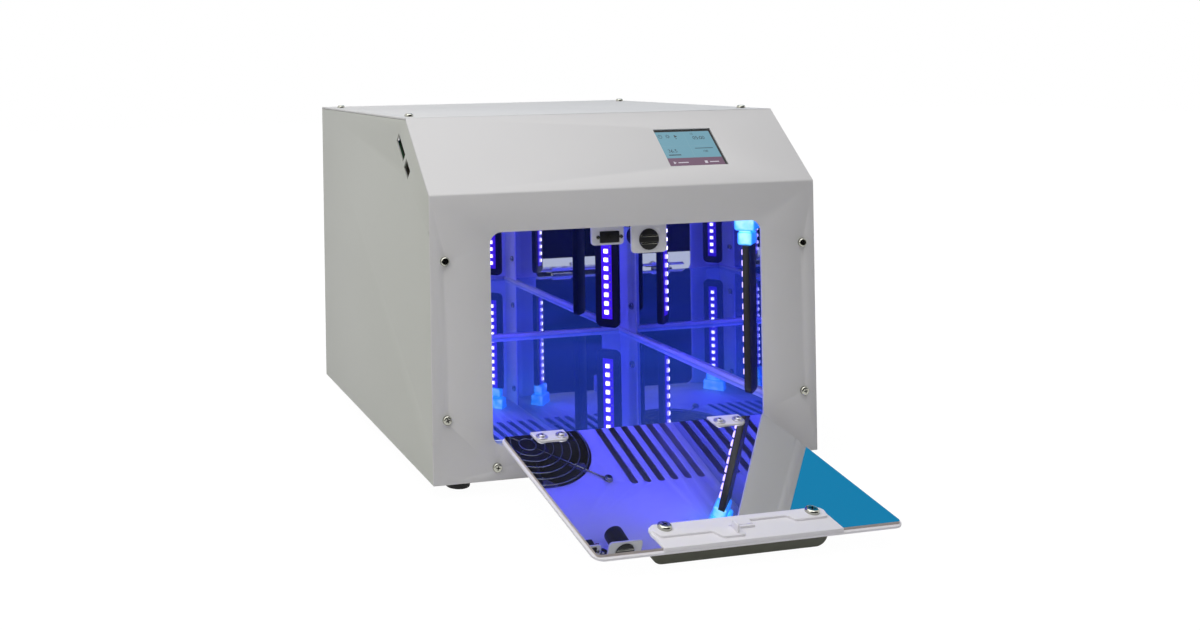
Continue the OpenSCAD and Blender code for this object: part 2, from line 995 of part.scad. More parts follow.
module fan_frame() {
    color("dimgray")
        placed()
            translate([0, mid_y, fan_z]) {
                difference() {
                    union() {
                        for (z = [0, fan_t - flange_t])
                            translate([0, 0, z])
                                linear_extrude(flange_t)
                                    soft_rect(fan_size, fan_size, 6);
                        cylinder(h = fan_t, r = fan_size / 2 - 0.5, $fn = 96);
                    }
                    translate([0, 0, -cut])
                        cylinder(h = fan_t + 2 * cut, r = fan_bore, $fn = 96);
                    for (x = [-1, 1], y = [-1, 1])
                        translate([x * fan_hole_spacing / 2, y * fan_hole_spacing / 2, -cut])
                            cylinder(h = fan_t + 2 * cut, r = screw_d / 2 + hole_gap);
                }
                translate([0, 0, fan_t - stator_t])
                    cylinder(h = stator_t, r = hub_r);
                translate([0, 0, flange_t])
                    cylinder(h = fan_t - flange_t, r = axle_r);
                for (turn = [0 : 90 : 270])
                    rotate([0, 0, turn])
                        translate([hub_r - 2, -strut_w / 2, fan_t - stator_t])
                            cube([fan_bore - hub_r + 3, strut_w, stator_t]);
            }
}

module fan_guard() {
    color("silver")
        placed()
            translate([0, mid_y, guard_z])
                difference() {
                    union() {
                        for (i = [1 : ring_count])
                            linear_extrude(2 * wire_r)
                                difference() {
                                    circle(ring_pitch * i + wire_r, $fn = 96);
                                    circle(ring_pitch * i - wire_r, $fn = 96);
                                }
                        for (turn = [45 : 90 : 315])
                            rotate([0, 0, turn])
                                translate([ring_pitch, -wire_r, 0])
                                    cube([spoke_l, 2 * wire_r, 2 * wire_r]);
                        for (x = [-1, 1], y = [-1, 1])
                            translate([x * fan_hole_spacing / 2, y * fan_hole_spacing / 2, 0])
                                cylinder(h = 2 * wire_r, r = eye_r);
                    }
                    for (x = [-1, 1], y = [-1, 1])
                        translate([x * fan_hole_spacing / 2, y * fan_hole_spacing / 2, -cut])
                            cylinder(h = 2 * wire_r + 2 * cut, r = screw_d / 2 + hole_gap);
                }
}

module fan_impeller() {
    low = 2;
    high = fan_t - stator_t - 1;
    color("darkgray")
        placed()
            translate([0, mid_y, fan_z])
                difference() {
                    union() {
                        translate([0, 0, low])
                            cylinder(h = high - low, r = hub_r);
                        for (i = [0 : blade_count - 1])
                            rotate([0, 0, i * 360 / blade_count])
                                intersection() {
                                    translate([hub_r / 2 + blade_w / 2, 0, (low + high) / 2])
                                        rotate([blade_tilt, 0, 0])
                                            cube([blade_w, blade_t, 3 * fan_t], center = true);
                                    translate([0, 0, low + 1])
                                        cylinder(h = high - low - 2, r = blade_tip, $fn = 96);
                                }
                    }
                    translate([0, 0, flange_t - run_gap])
                        cylinder(h = fan_t, r = axle_r + run_gap);
                }
}

module display_module() {
    panel_w = window_w + 2 * screen_edge_w;
    panel_h = window_h + 2 * screen_edge_h;
    board_half = window_w / 2 + screen_board_edge;
    post_x = board_half - screen_post_in;
    post_y = panel_h / 2 - screen_post_in;
    color("darkslategray")
        placed()
            on_slope()
                translate([window_x, window_up, -sheet_t]) {
                    translate([-panel_w / 2, -panel_h / 2, -screen_t])
                        cube([panel_w, panel_h, screen_t]);
                    translate([-board_half, -panel_h / 2, -screen_t - board_t])
                        cube([2 * board_half, panel_h, board_t]);
                    for (x = [-1, 1], y = [-1, 1])
                        translate([x * post_x, y * post_y, -screen_t])
                            cylinder(h = screen_t, r = screen_post_r);
                    translate([-plug_w / 2, -panel_h / 4 - plug_d / 2, -screen_t - board_t - plug_t])
                        cube([plug_w, plug_d, plug_t]);
                }
}

module controller_board() {
    color("darkgreen")
        placed()
            on_slope()
                translate([board_left, main_board_up, board_z - board_t])
                    difference() {
                        union() {
                            cube([main_board_w, board_l, board_t]);
                            for (chip = [[0.4, 0.2, 16], [0.62, 0.5, 12], [0.55, 0.74, 9]])
                                translate([chip[0] * main_board_w, chip[1] * board_l, board_t])
                                    cube([chip[2], chip[2], chip_t]);
                        }
                        for (x = board_hole_x, y = board_hole_y)
                            translate([x, y, -cut])
                                cylinder(h = board_t + 2 * cut, r = post_hole_r);
                    }
}

module data_socket() {
    shell_w = port_slot_l - 2.5;
    shell_h = port_slot_w - 1.2;
    color("silver")
        placed()
            on_slope()
                translate([-in_x + part_gap, port_up + (port_slot_l - shell_w) / 2, board_z])
                    difference() {
                        cube([16, shell_w, shell_h]);
                        translate([-cut, 1, 1])
                            cube([10 + cut, shell_w - 2, shell_h - 2]);
                    }
}

module card_socket() {
    shell_h = 6;
    color("silver")
        placed()
            on_slope()
                translate([-in_x + 2, card_up - 0.5, board_z])
                    difference() {
                        cube([28, card_slot_l + 1, shell_h]);
                        translate([-cut, 1, shell_h - 4])
                            cube([25, card_slot_l - 1, 2.8]);
                    }
}

module board_standoffs() {
    color("goldenrod")
        placed()
            on_slope()
                for (x = board_hole_x, y = board_hole_y)
                    translate([board_left + x, main_board_up + y, board_z])
                        difference() {
                            cylinder(h = -board_z - sheet_t, r = standoff_r);
                            translate([0, 0, -cut])
                                cylinder(h = 8, r = 1.3);
                        }
}

module power_supply() {
    color("silver")
        placed()
            translate([-supply_w - supply_gap, bay_y, ceiling_top])
                difference() {
                    cube([supply_w, supply_d, supply_h]);
                    for (i = [0 : supply_vents - 1])
                        translate([supply_vent_in + i * supply_vent_pitch, supply_vent_in, supply_roof])
                            cube([supply_vent_w, supply_d - 2 * supply_vent_in, plate_t + cut]);
                }
}

module led_driver() {
    fin_pitch = (sink_w - sink_fin_w) / (sink_fins - 1);
    color("darkgreen")
        placed()
            translate([driver_gap, bay_y, ceiling_top]) {
                cube([driver_w, driver_d, board_t]);
                translate([sink_in, sink_in, board_t])
                    cube([sink_w, sink_d, sink_base]);
                for (i = [0 : sink_fins - 1])
                    translate([sink_in + i * fin_pitch, sink_in, board_t])
                        cube([sink_fin_w, sink_d, sink_h]);
                translate([driver_w - sink_in - coil_w, sink_in, board_t])
                    cube([coil_w, coil_d, coil_h]);
            }
}

module mains_inlet() {
    color("black")
        placed()
            translate([inlet_x, 0, inlet_z])
                difference() {
                    union() {
                        upright(casing_d, inlet_flange_t)
                            soft_rect(inlet_flange_w, inlet_flange_h, 4);
                        upright(casing_d - inlet_l, inlet_l + inlet_flange_t)
                            square([socket_w, socket_h], center = true);
                    }
                    upright(casing_d - socket_l, socket_l + inlet_flange_t + cut)
                        square([socket_w - 2 * socket_wall, socket_h - 2 * socket_wall], center = true);
                    for (x = [-1, 1])
                        translate([x * inlet_screw_x, casing_d + inlet_flange_t - head_h, 0])
                            rotate([-90, 0, 0]) {
                                screw_hole(inlet_screw_l);
                                cylinder(h = head_h + cut, r = head_d / 2 + hole_gap);
                            }
                }
        placed()
            for (place = [[-7, 0], [7, 0], [0, 4]])
                translate([inlet_x + place[0], 0, inlet_z + place[1]])
                    upright(casing_d - socket_l - cut, socket_l - cut)
                        square([pin_w, pin_h], center = true);
}

module power_switch() {
    color("black")
        placed()
            translate([power_x, 0, inlet_z])
                difference() {
                    union() {
                        upright(casing_d, rocker_rim)
                            square([rocker_case_w, rocker_case_h] + [2, 2] * rocker_rim, center = true);
                        upright(casing_d - rocker_case_l, rocker_case_l + rocker_rim)
                            square([rocker_case_w, rocker_case_h], center = true);
                    }
                    upright(casing_d - rocker_well, rocker_well + rocker_rim + cut)
                        square([rocker_w + 2 * part_gap, 2 * (rocker_r + part_gap)], center = true);
                    translate([-rocker_w / 2 - axle_end - 0.2, casing_d - rocker_in, 0])
                        rotate([0, 90, 0])
                            cylinder(h = rocker_w + 2 * axle_end + 0.4, r = 1 + run_gap);
                }
}

module power_rocker() {
    color("black")
        placed()
            translate([power_x, casing_d - rocker_in, inlet_z])
                rotate([-rocker_tilt, 0, 0]) {
                    difference() {
                        translate([-rocker_w / 2, 0, 0])
                            rotate([0, 90, 0])
                                cylinder(h = rocker_w, r = rocker_r);
                        for (tilt = [-1, 1])
                            rotate([tilt * rocker_tilt, 0, 0])
                                translate([-rocker_w, rocker_in + 0.8, -rocker_r * (tilt < 0 ? 2 : 0)])
                                    cube([2 * rocker_w, rocker_r, 2 * rocker_r]);
                        translate([-rocker_w, -2 * rocker_r - 3, -rocker_r])
                            cube([2 * rocker_w, 2 * rocker_r, 2 * rocker_r]);
                    }
                    translate([-rocker_w / 2 - axle_end, 0, 0])
                        rotate([0, 90, 0])
                            cylinder(h = rocker_w + 2 * axle_end, r = 1);
                }
}

module catch_bracket() {
    drop = ceiling_z - catch_z + catch_r + 2.5;
    color("white")
        placed()
            difference() {
                union() {
                    upright(catch_plate_y, plate_t)
                        translate([catch_x, ceiling_z])
                            hanging_tab(catch_plate_w, drop, tab_r);
                    translate([catch_x - catch_plate_w / 2, catch_plate_y, ceiling_z - plate_t])
                        cube([catch_plate_w, catch_foot_l, plate_t]);
                }
                upright(catch_plate_y - cut, plate_t + 2 * cut)
                    translate([catch_x, catch_z])
                        circle(catch_r + hole_gap);
                bracket_screw_places()
                    screw_hole(plate_t + cut);
            }
}

module magnetic_catch() {
    color("black")
        placed()
            translate([catch_x, 0, catch_z]) {
                upright(catch_front, catch_l)
                    circle(catch_r);
                upright(catch_plate_y + plate_t, 2)
                    circle(catch_r + 1.6);
                for (z = [-1, 1])
                    upright(catch_front - 0.25, 2)
                        translate([0, z * pole_up])
                            square([pole_w, pole_h], center = true);
            }
}

module switch_bracket() {
    drop = ceiling_z - switch_z + switch_h / 2 + 2;
    color("white")
        placed()
            difference() {
                union() {
                    upright(switch_plate_y, plate_t)
                        translate([switch_plate_x, ceiling_z])
                            hanging_tab(switch_plate_w, drop, tab_r);
                    translate([switch_plate_x - switch_plate_w / 2, switch_plate_y, ceiling_z - plate_t])
                        cube([switch_plate_w, switch_foot_l, plate_t]);
                }
                upright(switch_plate_y - cut, plate_t + 2 * cut)
                    translate([switch_x, switch_z])
                        square([switch_w + part_gap, switch_h + part_gap], center = true);
                bracket_screw_places()
                    screw_hole(plate_t + cut);
            }
}

module door_switch() {
    color("black")
        placed()
            difference() {
                union() {
                    upright(switch_front, switch_l)
                        translate([switch_x, switch_z])
                            square([switch_w, switch_h], center = true);
                    upright(switch_plate_y + plate_t, 2)
                        translate([switch_x, switch_z])
                            square([switch_w + 5, switch_h], center = true);
                }
                upright(switch_front - cut, plunger_l + plunger_travel + cut)
                    translate([switch_x, switch_z])
                        circle(plunger_r + run_gap);
            }
}

module switch_plunger() {
    color("dimgray")
        placed()
            upright(plunger_tip, plunger_l)
                translate([switch_x, switch_z])
                    circle(plunger_r);
}

module switch_wires() {
    color("firebrick")
        placed()
            for (side = [-1, 1]) {
                start = switch_x + switch_w / 2;
                translate([start, wire_y + side * wire_gap, switch_z])
                    rotate([0, 90, 0])
                        cylinder(h = wire_x - start, r = sheath_r - 0.1);
                translate([wire_x, wire_y + side * wire_gap, switch_z - 1])
                    cylinder(h = ceiling_top + 12 - switch_z, r = sheath_r);
            }
}

// One leaf of a hinge, with its knuckles; up is 1 for the door leaf and -1 for the casing leaf.
module hinge_leaf(up, parts) {
    third = hinge_w / 3;
    difference() {
        translate([hinge_x, hinge_y, hinge_z])
            difference() {
                union() {
                    translate([-hinge_w / 2, hinge_out - leaf_t, up > 0 ? leaf_step : -leaf_low])
                        cube([hinge_w, leaf_t, hinge_leaf_l]);
                    for (part = parts)
                        translate([part * third, 0, 0])
                            across(third - 2 * part_gap) {
                                circle(knuckle_r);
                                polygon([
                                    [hinge_out, up * (leaf_step + 1)], [hinge_out, up * leaf_step],
                                    [1.5, up * 0.5], [-1, up * 2], [hinge_out - leaf_t, up * (leaf_step + 1)]
                                ]);
                            }
                }
                translate([-hinge_w, 0, 0])
                    rotate([0, 90, 0])
                        cylinder(h = 2 * hinge_w, r = pin_r + run_gap);
            }
        if (up > 0)
            door_screw_holes();
        if (up < 0)
            leaf_screw_places()
                translate([0, 0, -cut])
                    cylinder(h = 4 * cut, r = screw_d / 2 + hole_gap);
    }
}

// Holes through the closed door for the screws of the hinges.
module door_screw_holes() {
    both_sides()
        hinge_screw_places()
            translate([0, 0, -12])
                cylinder(h = 24, r = screw_d / 2 + hole_gap);
}

module hinge_screw_places() {
    for (x = [-1, 1])
        translate([hinge_x + x * hinge_screw_pitch / 2, door_t + hinge_plate_t, door_low + hinge_screw_up])
            rotate([-90, 0, 0])
                children();
}

module hinge_body_leaves() {
    color("silver")
        placed()
            both_sides()
                hinge_leaf(-1, [0]);
}

module casing_screws() {
    color("silver")
        placed() {
            front_screw_places()
                pan_screw(flange_y - 0.2);
            top_screw_places()
                pan_screw(flange_y + 3);
            leaf_screw_places()
                translate([0, 0, leaf_t])
                    pan_screw(leaf_t + flange_y + 3);
        }
}

module rear_screws() {
    color("silver")
        placed() {
            rear_screw_places()
                pan_screw(flange_y + 3);
            inlet_screw_places()
                pan_screw(10);
        }
}

module feet() {
    color("black")
        placed()
            foot_places()
                translate([0, 0, -foot_h])
                    difference() {
                        cylinder(h = foot_h, r = foot_d / 2);
                        translate([0, 0, -cut])
                            cylinder(h = foot_h / 2 + cut, r = head_d / 2 + 1);
                        cylinder(h = foot_h + cut, r = screw_d / 2 + hole_gap);
                    }
}

module foot_screws() {
    color("silver")
        placed()
            foot_places() {
                translate([0, 0, -foot_h / 2])
                    rotate([180, 0, 0])
                        pan_screw(foot_h / 2 + sheet_t + 4);
                translate([0, 0, sheet_t])
                    difference() {
                        cylinder(h = 3.2, r = 3.5);
                        translate([0, 0, -cut])
                            cylinder(h = 3.2 + 2 * cut, r = screw_d / 2);
                    }
            }
}

// Front view of the closed door, set in from its edges.
module door_view(inset, radius) {
    translate([0, (door_low + door_top) / 2])
        soft_rect(2 * (door_half - inset), door_h - 2 * inset, radius);
}

module handle_holes() {
    both_sides()
        translate([handle_screw_x, latch_face, handle_low + handle_screw_up])
            rotate([-90, 0, 0])
                screw_hole(handle_screw_l + part_gap);
}

module door_panel() {
    color("whitesmoke")
        door_pose()
            difference() {
                upright(0, door_t)
                    door_view(0, door_r);
                door_screw_holes();
                handle_holes();
            }
}

module door_mirror() {
    color("silver")
        door_pose()
            difference() {
                upright(door_t, door_mirror_t)
                    door_view(door_rim, 3);
                both_sides()
                    upright(door_t - cut, door_mirror_t + 2 * cut)
                        hinge_plate_view(0.5);
                handle_holes();
            }
}

module hinge_plate_view(grow) {
    translate([hinge_x, door_low])
        mirror([0, 1])
            hanging_tab(hinge_w + 2 * grow, hinge_plate_d + grow, hinge_plate_r);
}

module hinge_plates() {
    color("white")
        door_pose()
            difference() {
                both_sides()
                    upright(door_t, hinge_plate_t)
                        hinge_plate_view(0);
                door_screw_holes();
            }
}

module hinge_door_leaves() {
    color("silver")
        door_pose()
            both_sides()
                hinge_leaf(1, [-1, 1]);
}

module hinge_pins() {
    length = hinge_w + 0.6;
    color("silver")
        placed()
            both_sides()
                translate([hinge_x, hinge_y, hinge_z])
                    rotate([0, 90, 0]) {
                        translate([0, 0, -length / 2])
                            cylinder(h = length, r = pin_r);
                        for (z = [-length / 2 - 1, length / 2])
                            translate([0, 0, z])
                                cylinder(h = 1, r = knuckle_r - 0.6);
                    }
}

module hinge_screws() {
    color("silver")
        door_pose()
            both_sides()
                hinge_screw_places() {
                    cylinder(h = washer_t, r = washer_r);
                    translate([0, 0, washer_t])
                        pan_screw(washer_t + hinge_plate_t + door_t + leaf_t + nut_t);
                    translate([0, 0, -hinge_plate_t - door_t - leaf_t - nut_t])
                        cylinder(h = nut_t, r = nut_r);
                }
}

module latch_plate() {
    color("white")
        door_pose()
            difference() {
                union() {
                    upright(mirror_face, latch_t)
                        translate([0, door_top])
                            hanging_tab(latch_w, latch_d, latch_r);
                    translate([-latch_w / 2, door_t, door_top - latch_lip])
                        cube([latch_w, door_mirror_t + cut, latch_lip]);
                    translate([switch_x - fin_t / 2, mirror_face, switch_z - fin_l / 2])
                        cube([fin_t, latch_t + fin_h, fin_l]);
                }
                translate([switch_x - 2.5, mirror_face - cut, latch_low + latch_d / 2 - 1.5])
                    cube([slit_w, latch_t + 2 * cut, slit_h]);
                handle_holes();
            }
}

module door_handle() {
    color("whitesmoke")
        door_pose()
            difference() {
                translate([0, 0, handle_low])
                    linear_extrude(handle_t)
                        hanging_tab(latch_w, handle_out, handle_r);
                handle_holes();
            }
}

module handle_screws() {
    color("silver")
        door_pose()
            both_sides()
                translate([handle_screw_x, latch_face, handle_low + handle_screw_up])
                    rotate([-90, 0, 0])
                        difference() {
                            union() {
                                cylinder(h = knob_h / 2, r = knob_r);
                                translate([0, 0, knob_h / 2])
                                    cylinder(h = knob_h / 2, r1 = knob_r, r2 = knob_r / 1.5);
                                translate([0, 0, -handle_screw_l])
                                    cylinder(h = handle_screw_l + knob_h / 2, r = screw_d / 2);
                            }
                            for (turn = [0, 90])
                                rotate([0, 0, turn])
                                    translate([-knob_r / 2, -0.6, knob_h / 2])
                                        cube([knob_r, 1.2, knob_h]);
                        }
}

base_pan();
left_side_panel();
right_side_panel();
front_hood();
rear_panel();
floor_deck();
chamber_ceiling();
chamber_back_wall();
corner_posts();
mirror_floor();
mirror_left();
mirror_right();
mirror_back();
floor_trim();
led_bar_front_left();
led_bar_front_right();
led_bar_rear_left();
led_bar_rear_right();
led_strip_front_left();
led_strip_front_right();
led_strip_rear_left();
led_strip_rear_right();
bar_cap_front_left();
bar_cap_front_right();
bar_cap_rear_left();
bar_cap_rear_right();
chamber_screws();
fan_frame();
fan_guard();
fan_impeller();
display_module();
controller_board();
data_socket();
card_socket();
board_standoffs();
power_supply();
led_driver();
mains_inlet();
power_switch();
power_rocker();
catch_bracket();
magnetic_catch();
switch_bracket();
door_switch();
switch_plunger();
switch_wires();
hinge_body_leaves();
casing_screws();
rear_screws();
feet();
foot_screws();
door_panel();
door_mirror();
hinge_plates();
hinge_door_leaves();
hinge_pins();
hinge_screws();
latch_plate();
door_handle();
handle_screws();
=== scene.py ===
import json
import math

import bmesh
import bpy
from mathutils import Matrix, Vector


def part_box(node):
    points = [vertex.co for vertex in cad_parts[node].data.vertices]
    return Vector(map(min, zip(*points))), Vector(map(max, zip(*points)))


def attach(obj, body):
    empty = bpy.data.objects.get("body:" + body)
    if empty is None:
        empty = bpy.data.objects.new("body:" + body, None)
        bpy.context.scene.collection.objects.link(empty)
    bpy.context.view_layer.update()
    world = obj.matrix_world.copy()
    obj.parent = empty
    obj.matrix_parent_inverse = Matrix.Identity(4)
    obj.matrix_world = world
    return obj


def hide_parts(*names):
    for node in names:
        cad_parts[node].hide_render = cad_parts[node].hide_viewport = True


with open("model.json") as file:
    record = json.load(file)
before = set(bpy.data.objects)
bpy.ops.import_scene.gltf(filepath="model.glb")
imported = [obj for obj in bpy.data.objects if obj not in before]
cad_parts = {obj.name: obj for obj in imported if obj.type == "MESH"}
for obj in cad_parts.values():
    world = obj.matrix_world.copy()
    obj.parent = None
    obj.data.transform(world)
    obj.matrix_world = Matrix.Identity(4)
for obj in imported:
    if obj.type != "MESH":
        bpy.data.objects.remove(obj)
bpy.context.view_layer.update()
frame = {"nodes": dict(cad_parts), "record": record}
scene = bpy.context.scene

# ---------------------------------------------------------------- places
MM = 0.001
hood_low, hood_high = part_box("front_hood")
FRONT = hood_low.y
UNDERSIDE = hood_low.z
hinge = next(j for j in frame["record"]["behaviour"]["joints"] if j["name"] == "door_hinge")
HINGE = Vector(hinge["pos_m"])
OPEN_ANGLE = math.radians(hinge["range_deg"][1])


def at(x, y, z):
    """Point measured in millimetres from the casing's middle, its front face and its underside."""
    return Vector((x * MM, FRONT + y * MM, UNDERSIDE + z * MM))


def raw(x, y, z):
    """Point in millimetres in a piece's own frame."""
    return Vector((x, y, z)) * MM


def frame_node(name):
    return frame["nodes"][name]


DOOR_OPEN = Matrix.Translation(HINGE) @ Matrix.Rotation(OPEN_ANGLE, 4, "X") @ Matrix.Translation(-HINGE)
SIDES = (-1, 1)
FORWARD, BACK, UPWARD, DOWN = (0, -1, 0), (0, 1, 0), (0, 0, 1), (0, 0, -1)

# Millimetres from the casing's middle, front face and underside, as at() takes them.
DEPTH, HEIGHT, SLOPE_FOOT = 376, 303, 241
FAN_Y = 181.3
CEILING_SCREW_Z = 206.5
BAR_X, BAR_FRONT, BAR_REAR = 141, 40.4, 322.2
SIDE_SCREW_X, SIDE_SCREW_Z = 167.5, (54, 186)
LOW_SCREW_X, LOW_SCREW_Z = 124, 11
FOOT_X, FOOT_LENGTH = 148, 12.5
HINGE_X, HINGE_STEP = 82, 8.75
HINGE_PLATE_HALF, HINGE_PLATE_TOP = 15, 45.5
DOOR_HALF, DOOR_LOW, DOOR_TOP = 124, 29.5, 207
DOOR_THICK, MIRROR_THICK = 2, 2
LATCH_HALF, LATCH_LOW, LATCH_FACE = 71.5, 179.5, 7
HANDLE_OUT, HANDLE_LOW, HANDLE_TOP = 18.6, 172.5, 191
MAGNET_X, MAGNET_Z = 23.5, 194.4
SWITCH_X, SWITCH_Z = -10.5, 197


# ---------------------------------------------------------------- modelling helpers
def clear_selection():
    if bpy.context.object and bpy.context.object.mode != "OBJECT":
        bpy.ops.object.mode_set(mode="OBJECT")
    bpy.ops.object.select_all(action="DESELECT")


def select_only(piece):
    clear_selection()
    bpy.context.view_layer.objects.active = piece
    piece.select_set(True)


def name_it(name):
    """Names the piece that was made last."""
    piece = bpy.context.object
    piece.name = name
    piece.data.name = name
    return piece


def settle(piece):
    """Writes the piece's place into its mesh."""
    select_only(piece)
    bpy.ops.object.transform_apply(location=True, rotation=True, scale=True)
    return piece


def use_modifier(piece, kind, **values):
    select_only(piece)
    bpy.ops.object.modifier_add(type=kind)
    modifier = piece.modifiers[-1]
    for key, value in values.items():
        setattr(modifier, key, value)
    bpy.ops.object.modifier_apply(modifier=modifier.name)


def soften(piece, width, segments=3, angle=35):
    """Rounds the edges that are sharper than an angle."""
    use_modifier(piece, "BEVEL", width=width * MM, segments=segments, limit_method="ANGLE",
                 angle_limit=math.radians(angle), use_clamp_overlap=True)
    select_only(piece)
    bpy.ops.object.shade_smooth_by_angle(angle=math.radians(40))
    return piece


def box_between(name, low, high, bevel, segments):
    clear_selection()
    bpy.ops.mesh.primitive_cube_add(size=1, location=(low + high) / 2, scale=high - low)
    piece = settle(name_it(name))
    return soften(piece, bevel, segments) if bevel else piece


def block(name, low, high, bevel=0.3, segments=3):
    """Box between two corners in the casing's millimetres."""
    return box_between(name, at(*low), at(*high), bevel, segments)


def local_block(name, low, high, bevel=0.3, segments=3):
    """Box between two corners in a piece's own millimetres."""
    return box_between(name, raw(*low), raw(*high), bevel, segments)


def drum(name, centre, radius, length, axis, bevel, sides):
    """Round bar about its centre, along Z or Y."""
    turn = {"Z": (0, 0, 0), "Y": (math.pi / 2, 0, 0)}[axis]
    clear_selection()
    bpy.ops.mesh.primitive_cylinder_add(vertices=sides, radius=radius * MM, depth=length * MM,
                                        location=at(*centre), rotation=turn)
    return soften(settle(name_it(name)), bevel)


def join(name, pieces):
    clear_selection()
    for piece in pieces:
        piece.select_set(True)
    bpy.context.view_layer.objects.active = pieces[0]
    bpy.ops.object.join()
    return name_it(name)


def copy_of(piece, matrix=None, name=None):
    """Copy with a mesh of its own."""
    twin = piece.copy()
    twin.data = piece.data.copy()
    bpy.context.collection.objects.link(twin)
    if matrix is not None:
        twin.data.transform(matrix)
    if name:
        twin.name = name
        twin.data.name = name
    return twin


def plate(name, outline, front, depth, bevel=0.3):
    """Upright plate with an outline of x, z points, from a distance behind the front face backwards."""
    clear_selection()
    bpy.ops.mesh.primitive_plane_add(size=1)
    piece = name_it(name)
    sheet = bmesh.new()
    sheet.faces.new([sheet.verts.new(at(x, front, z)) for x, z in outline])
    sheet.to_mesh(piece.data)
    sheet.free()
    bpy.ops.object.mode_set(mode="EDIT")
    bpy.ops.mesh.select_all(action="SELECT")
    bpy.ops.mesh.extrude_region_move(TRANSFORM_OT_translate={"value": (0, depth * MM, 0)})
    bpy.ops.mesh.select_all(action="SELECT")
    bpy.ops.mesh.normals_make_consistent(inside=False)
    bpy.ops.object.mode_set(mode="OBJECT")
    return soften(piece, bevel) if bevel else piece


def rounded(x0, z0, x1, z1, radius, steps=6, corners=(1, 1, 1, 1)):
    """Outline of a rectangle; corners go round from the lower left, and 0 leaves a corner sharp."""
    points = []
    places = [(x0, z0, 180), (x1, z0, 270), (x1, z1, 0), (x0, z1, 90)]
    for (x, z, start), is_round in zip(places, corners):
        if not is_round:
            points.append((x, z))
            continue
        cx = x + (radius if x == x0 else -radius)
        cz = z + (radius if z == z0 else -radius)
        for i in range(steps + 1):
            turn = math.radians(start + 90 * i / steps)
            points.append((cx + radius * math.cos(turn), cz + radius * math.sin(turn)))
    return points


def dress_copy(node, width, body="root"):
    """Stands a softened copy of a CAD node in its place."""
    piece = copy_of(frame_node(node), name=node + "_soft")
    for key in list(piece.keys()):
        del piece[key]
    piece.parent = None
    piece.matrix_world = Matrix.Identity(4)
    select_only(piece)
    bpy.ops.object.mode_set(mode="EDIT")
    bpy.ops.mesh.select_all(action="SELECT")
    bpy.ops.mesh.remove_doubles(threshold=0.00001)
    bpy.ops.mesh.dissolve_limited(angle_limit=math.radians(1.0))
    bpy.ops.object.mode_set(mode="OBJECT")
    soften(piece, width, 2)
    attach(piece, body)
    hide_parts(node)


# ---------------------------------------------------------------- material helpers
def new_material(name):
    material = bpy.data.materials.new(name)
    material.use_nodes = True
    tree = material.node_tree
    shader = tree.nodes["Principled BSDF"]
    return material, tree, shader


def place_node(tree, kind, **values):
    """Adds a node; each value goes to the input of that name, or else to the setting."""
    node = tree.nodes.new(kind)
    for key, value in values.items():
        if key in node.inputs:
            node.inputs[key].default_value = value
        else:
            setattr(node, key, value)
    return node


def object_point(tree):
    return place_node(tree, "ShaderNodeTexCoord").outputs["Object"]


def math_node(tree, operation, *values):
    """Result of a Math node, each of whose inputs is a number or another node's output."""
    node = place_node(tree, "ShaderNodeMath", operation=operation)
    for socket, value in zip(node.inputs, values):
        if isinstance(value, float):
            socket.default_value = value
        else:
            tree.links.new(value, socket)
    return node.outputs[0]


def map_range(tree, source, from_range, to_range, **values):
    node = place_node(tree, "ShaderNodeMapRange", **values)
    node.inputs["From Min"].default_value, node.inputs["From Max"].default_value = from_range
    node.inputs["To Min"].default_value, node.inputs["To Max"].default_value = to_range
    tree.links.new(source, node.inputs["Value"])
    return node.outputs[0]


def seen_in_picture(tree):
    """One for what the camera sees itself or in a polished surface, else zero."""
    path = place_node(tree, "ShaderNodeLightPath")
    return math_node(tree, "MAXIMUM", path.outputs["Is Camera Ray"], path.outputs["Is Glossy Ray"])


def build_skin_group():
    """Grain, soft stains and gloss changes of a surface, from its own place."""
    group = bpy.data.node_groups.new("surface_skin", "ShaderNodeTree")
    face = group.interface
    face.new_socket("Point", in_out="INPUT", socket_type="NodeSocketVector")
    for name, value in (("Grain Scale", 900.0), ("Stain Scale", 9.0), ("Stain Depth", 0.05),
                        ("Gloss", 0.4), ("Gloss Spread", 0.08)):
        face.new_socket(name, in_out="INPUT", socket_type="NodeSocketFloat").default_value = value
    for name in ("Shade", "Roughness", "Height"):
        face.new_socket(name, in_out="OUTPUT", socket_type="NodeSocketFloat")
    enter = group.nodes.new("NodeGroupInput")
    leave = group.nodes.new("NodeGroupOutput")
    grain = place_node(group, "ShaderNodeTexNoise", Detail=3.0, Roughness=0.6)
    stain = place_node(group, "ShaderNodeTexNoise", Detail=4.0, Roughness=0.55)
    for texture, scale in ((grain, "Grain Scale"), (stain, "Stain Scale")):
        group.links.new(enter.outputs["Point"], texture.inputs["Vector"])
        group.links.new(enter.outputs[scale], texture.inputs["Scale"])
    centred = math_node(group, "SUBTRACT", stain.outputs["Fac"], 0.5)
    shade = math_node(group, "MULTIPLY_ADD", centred, enter.outputs["Stain Depth"], 1.0)
    rough = math_node(group, "MULTIPLY_ADD", centred, enter.outputs["Gloss Spread"], enter.outputs["Gloss"])
    group.links.new(shade, leave.inputs["Shade"])
    group.links.new(rough, leave.inputs["Roughness"])
    group.links.new(grain.outputs["Fac"], leave.inputs["Height"])
    return group


SKIN = build_skin_group()


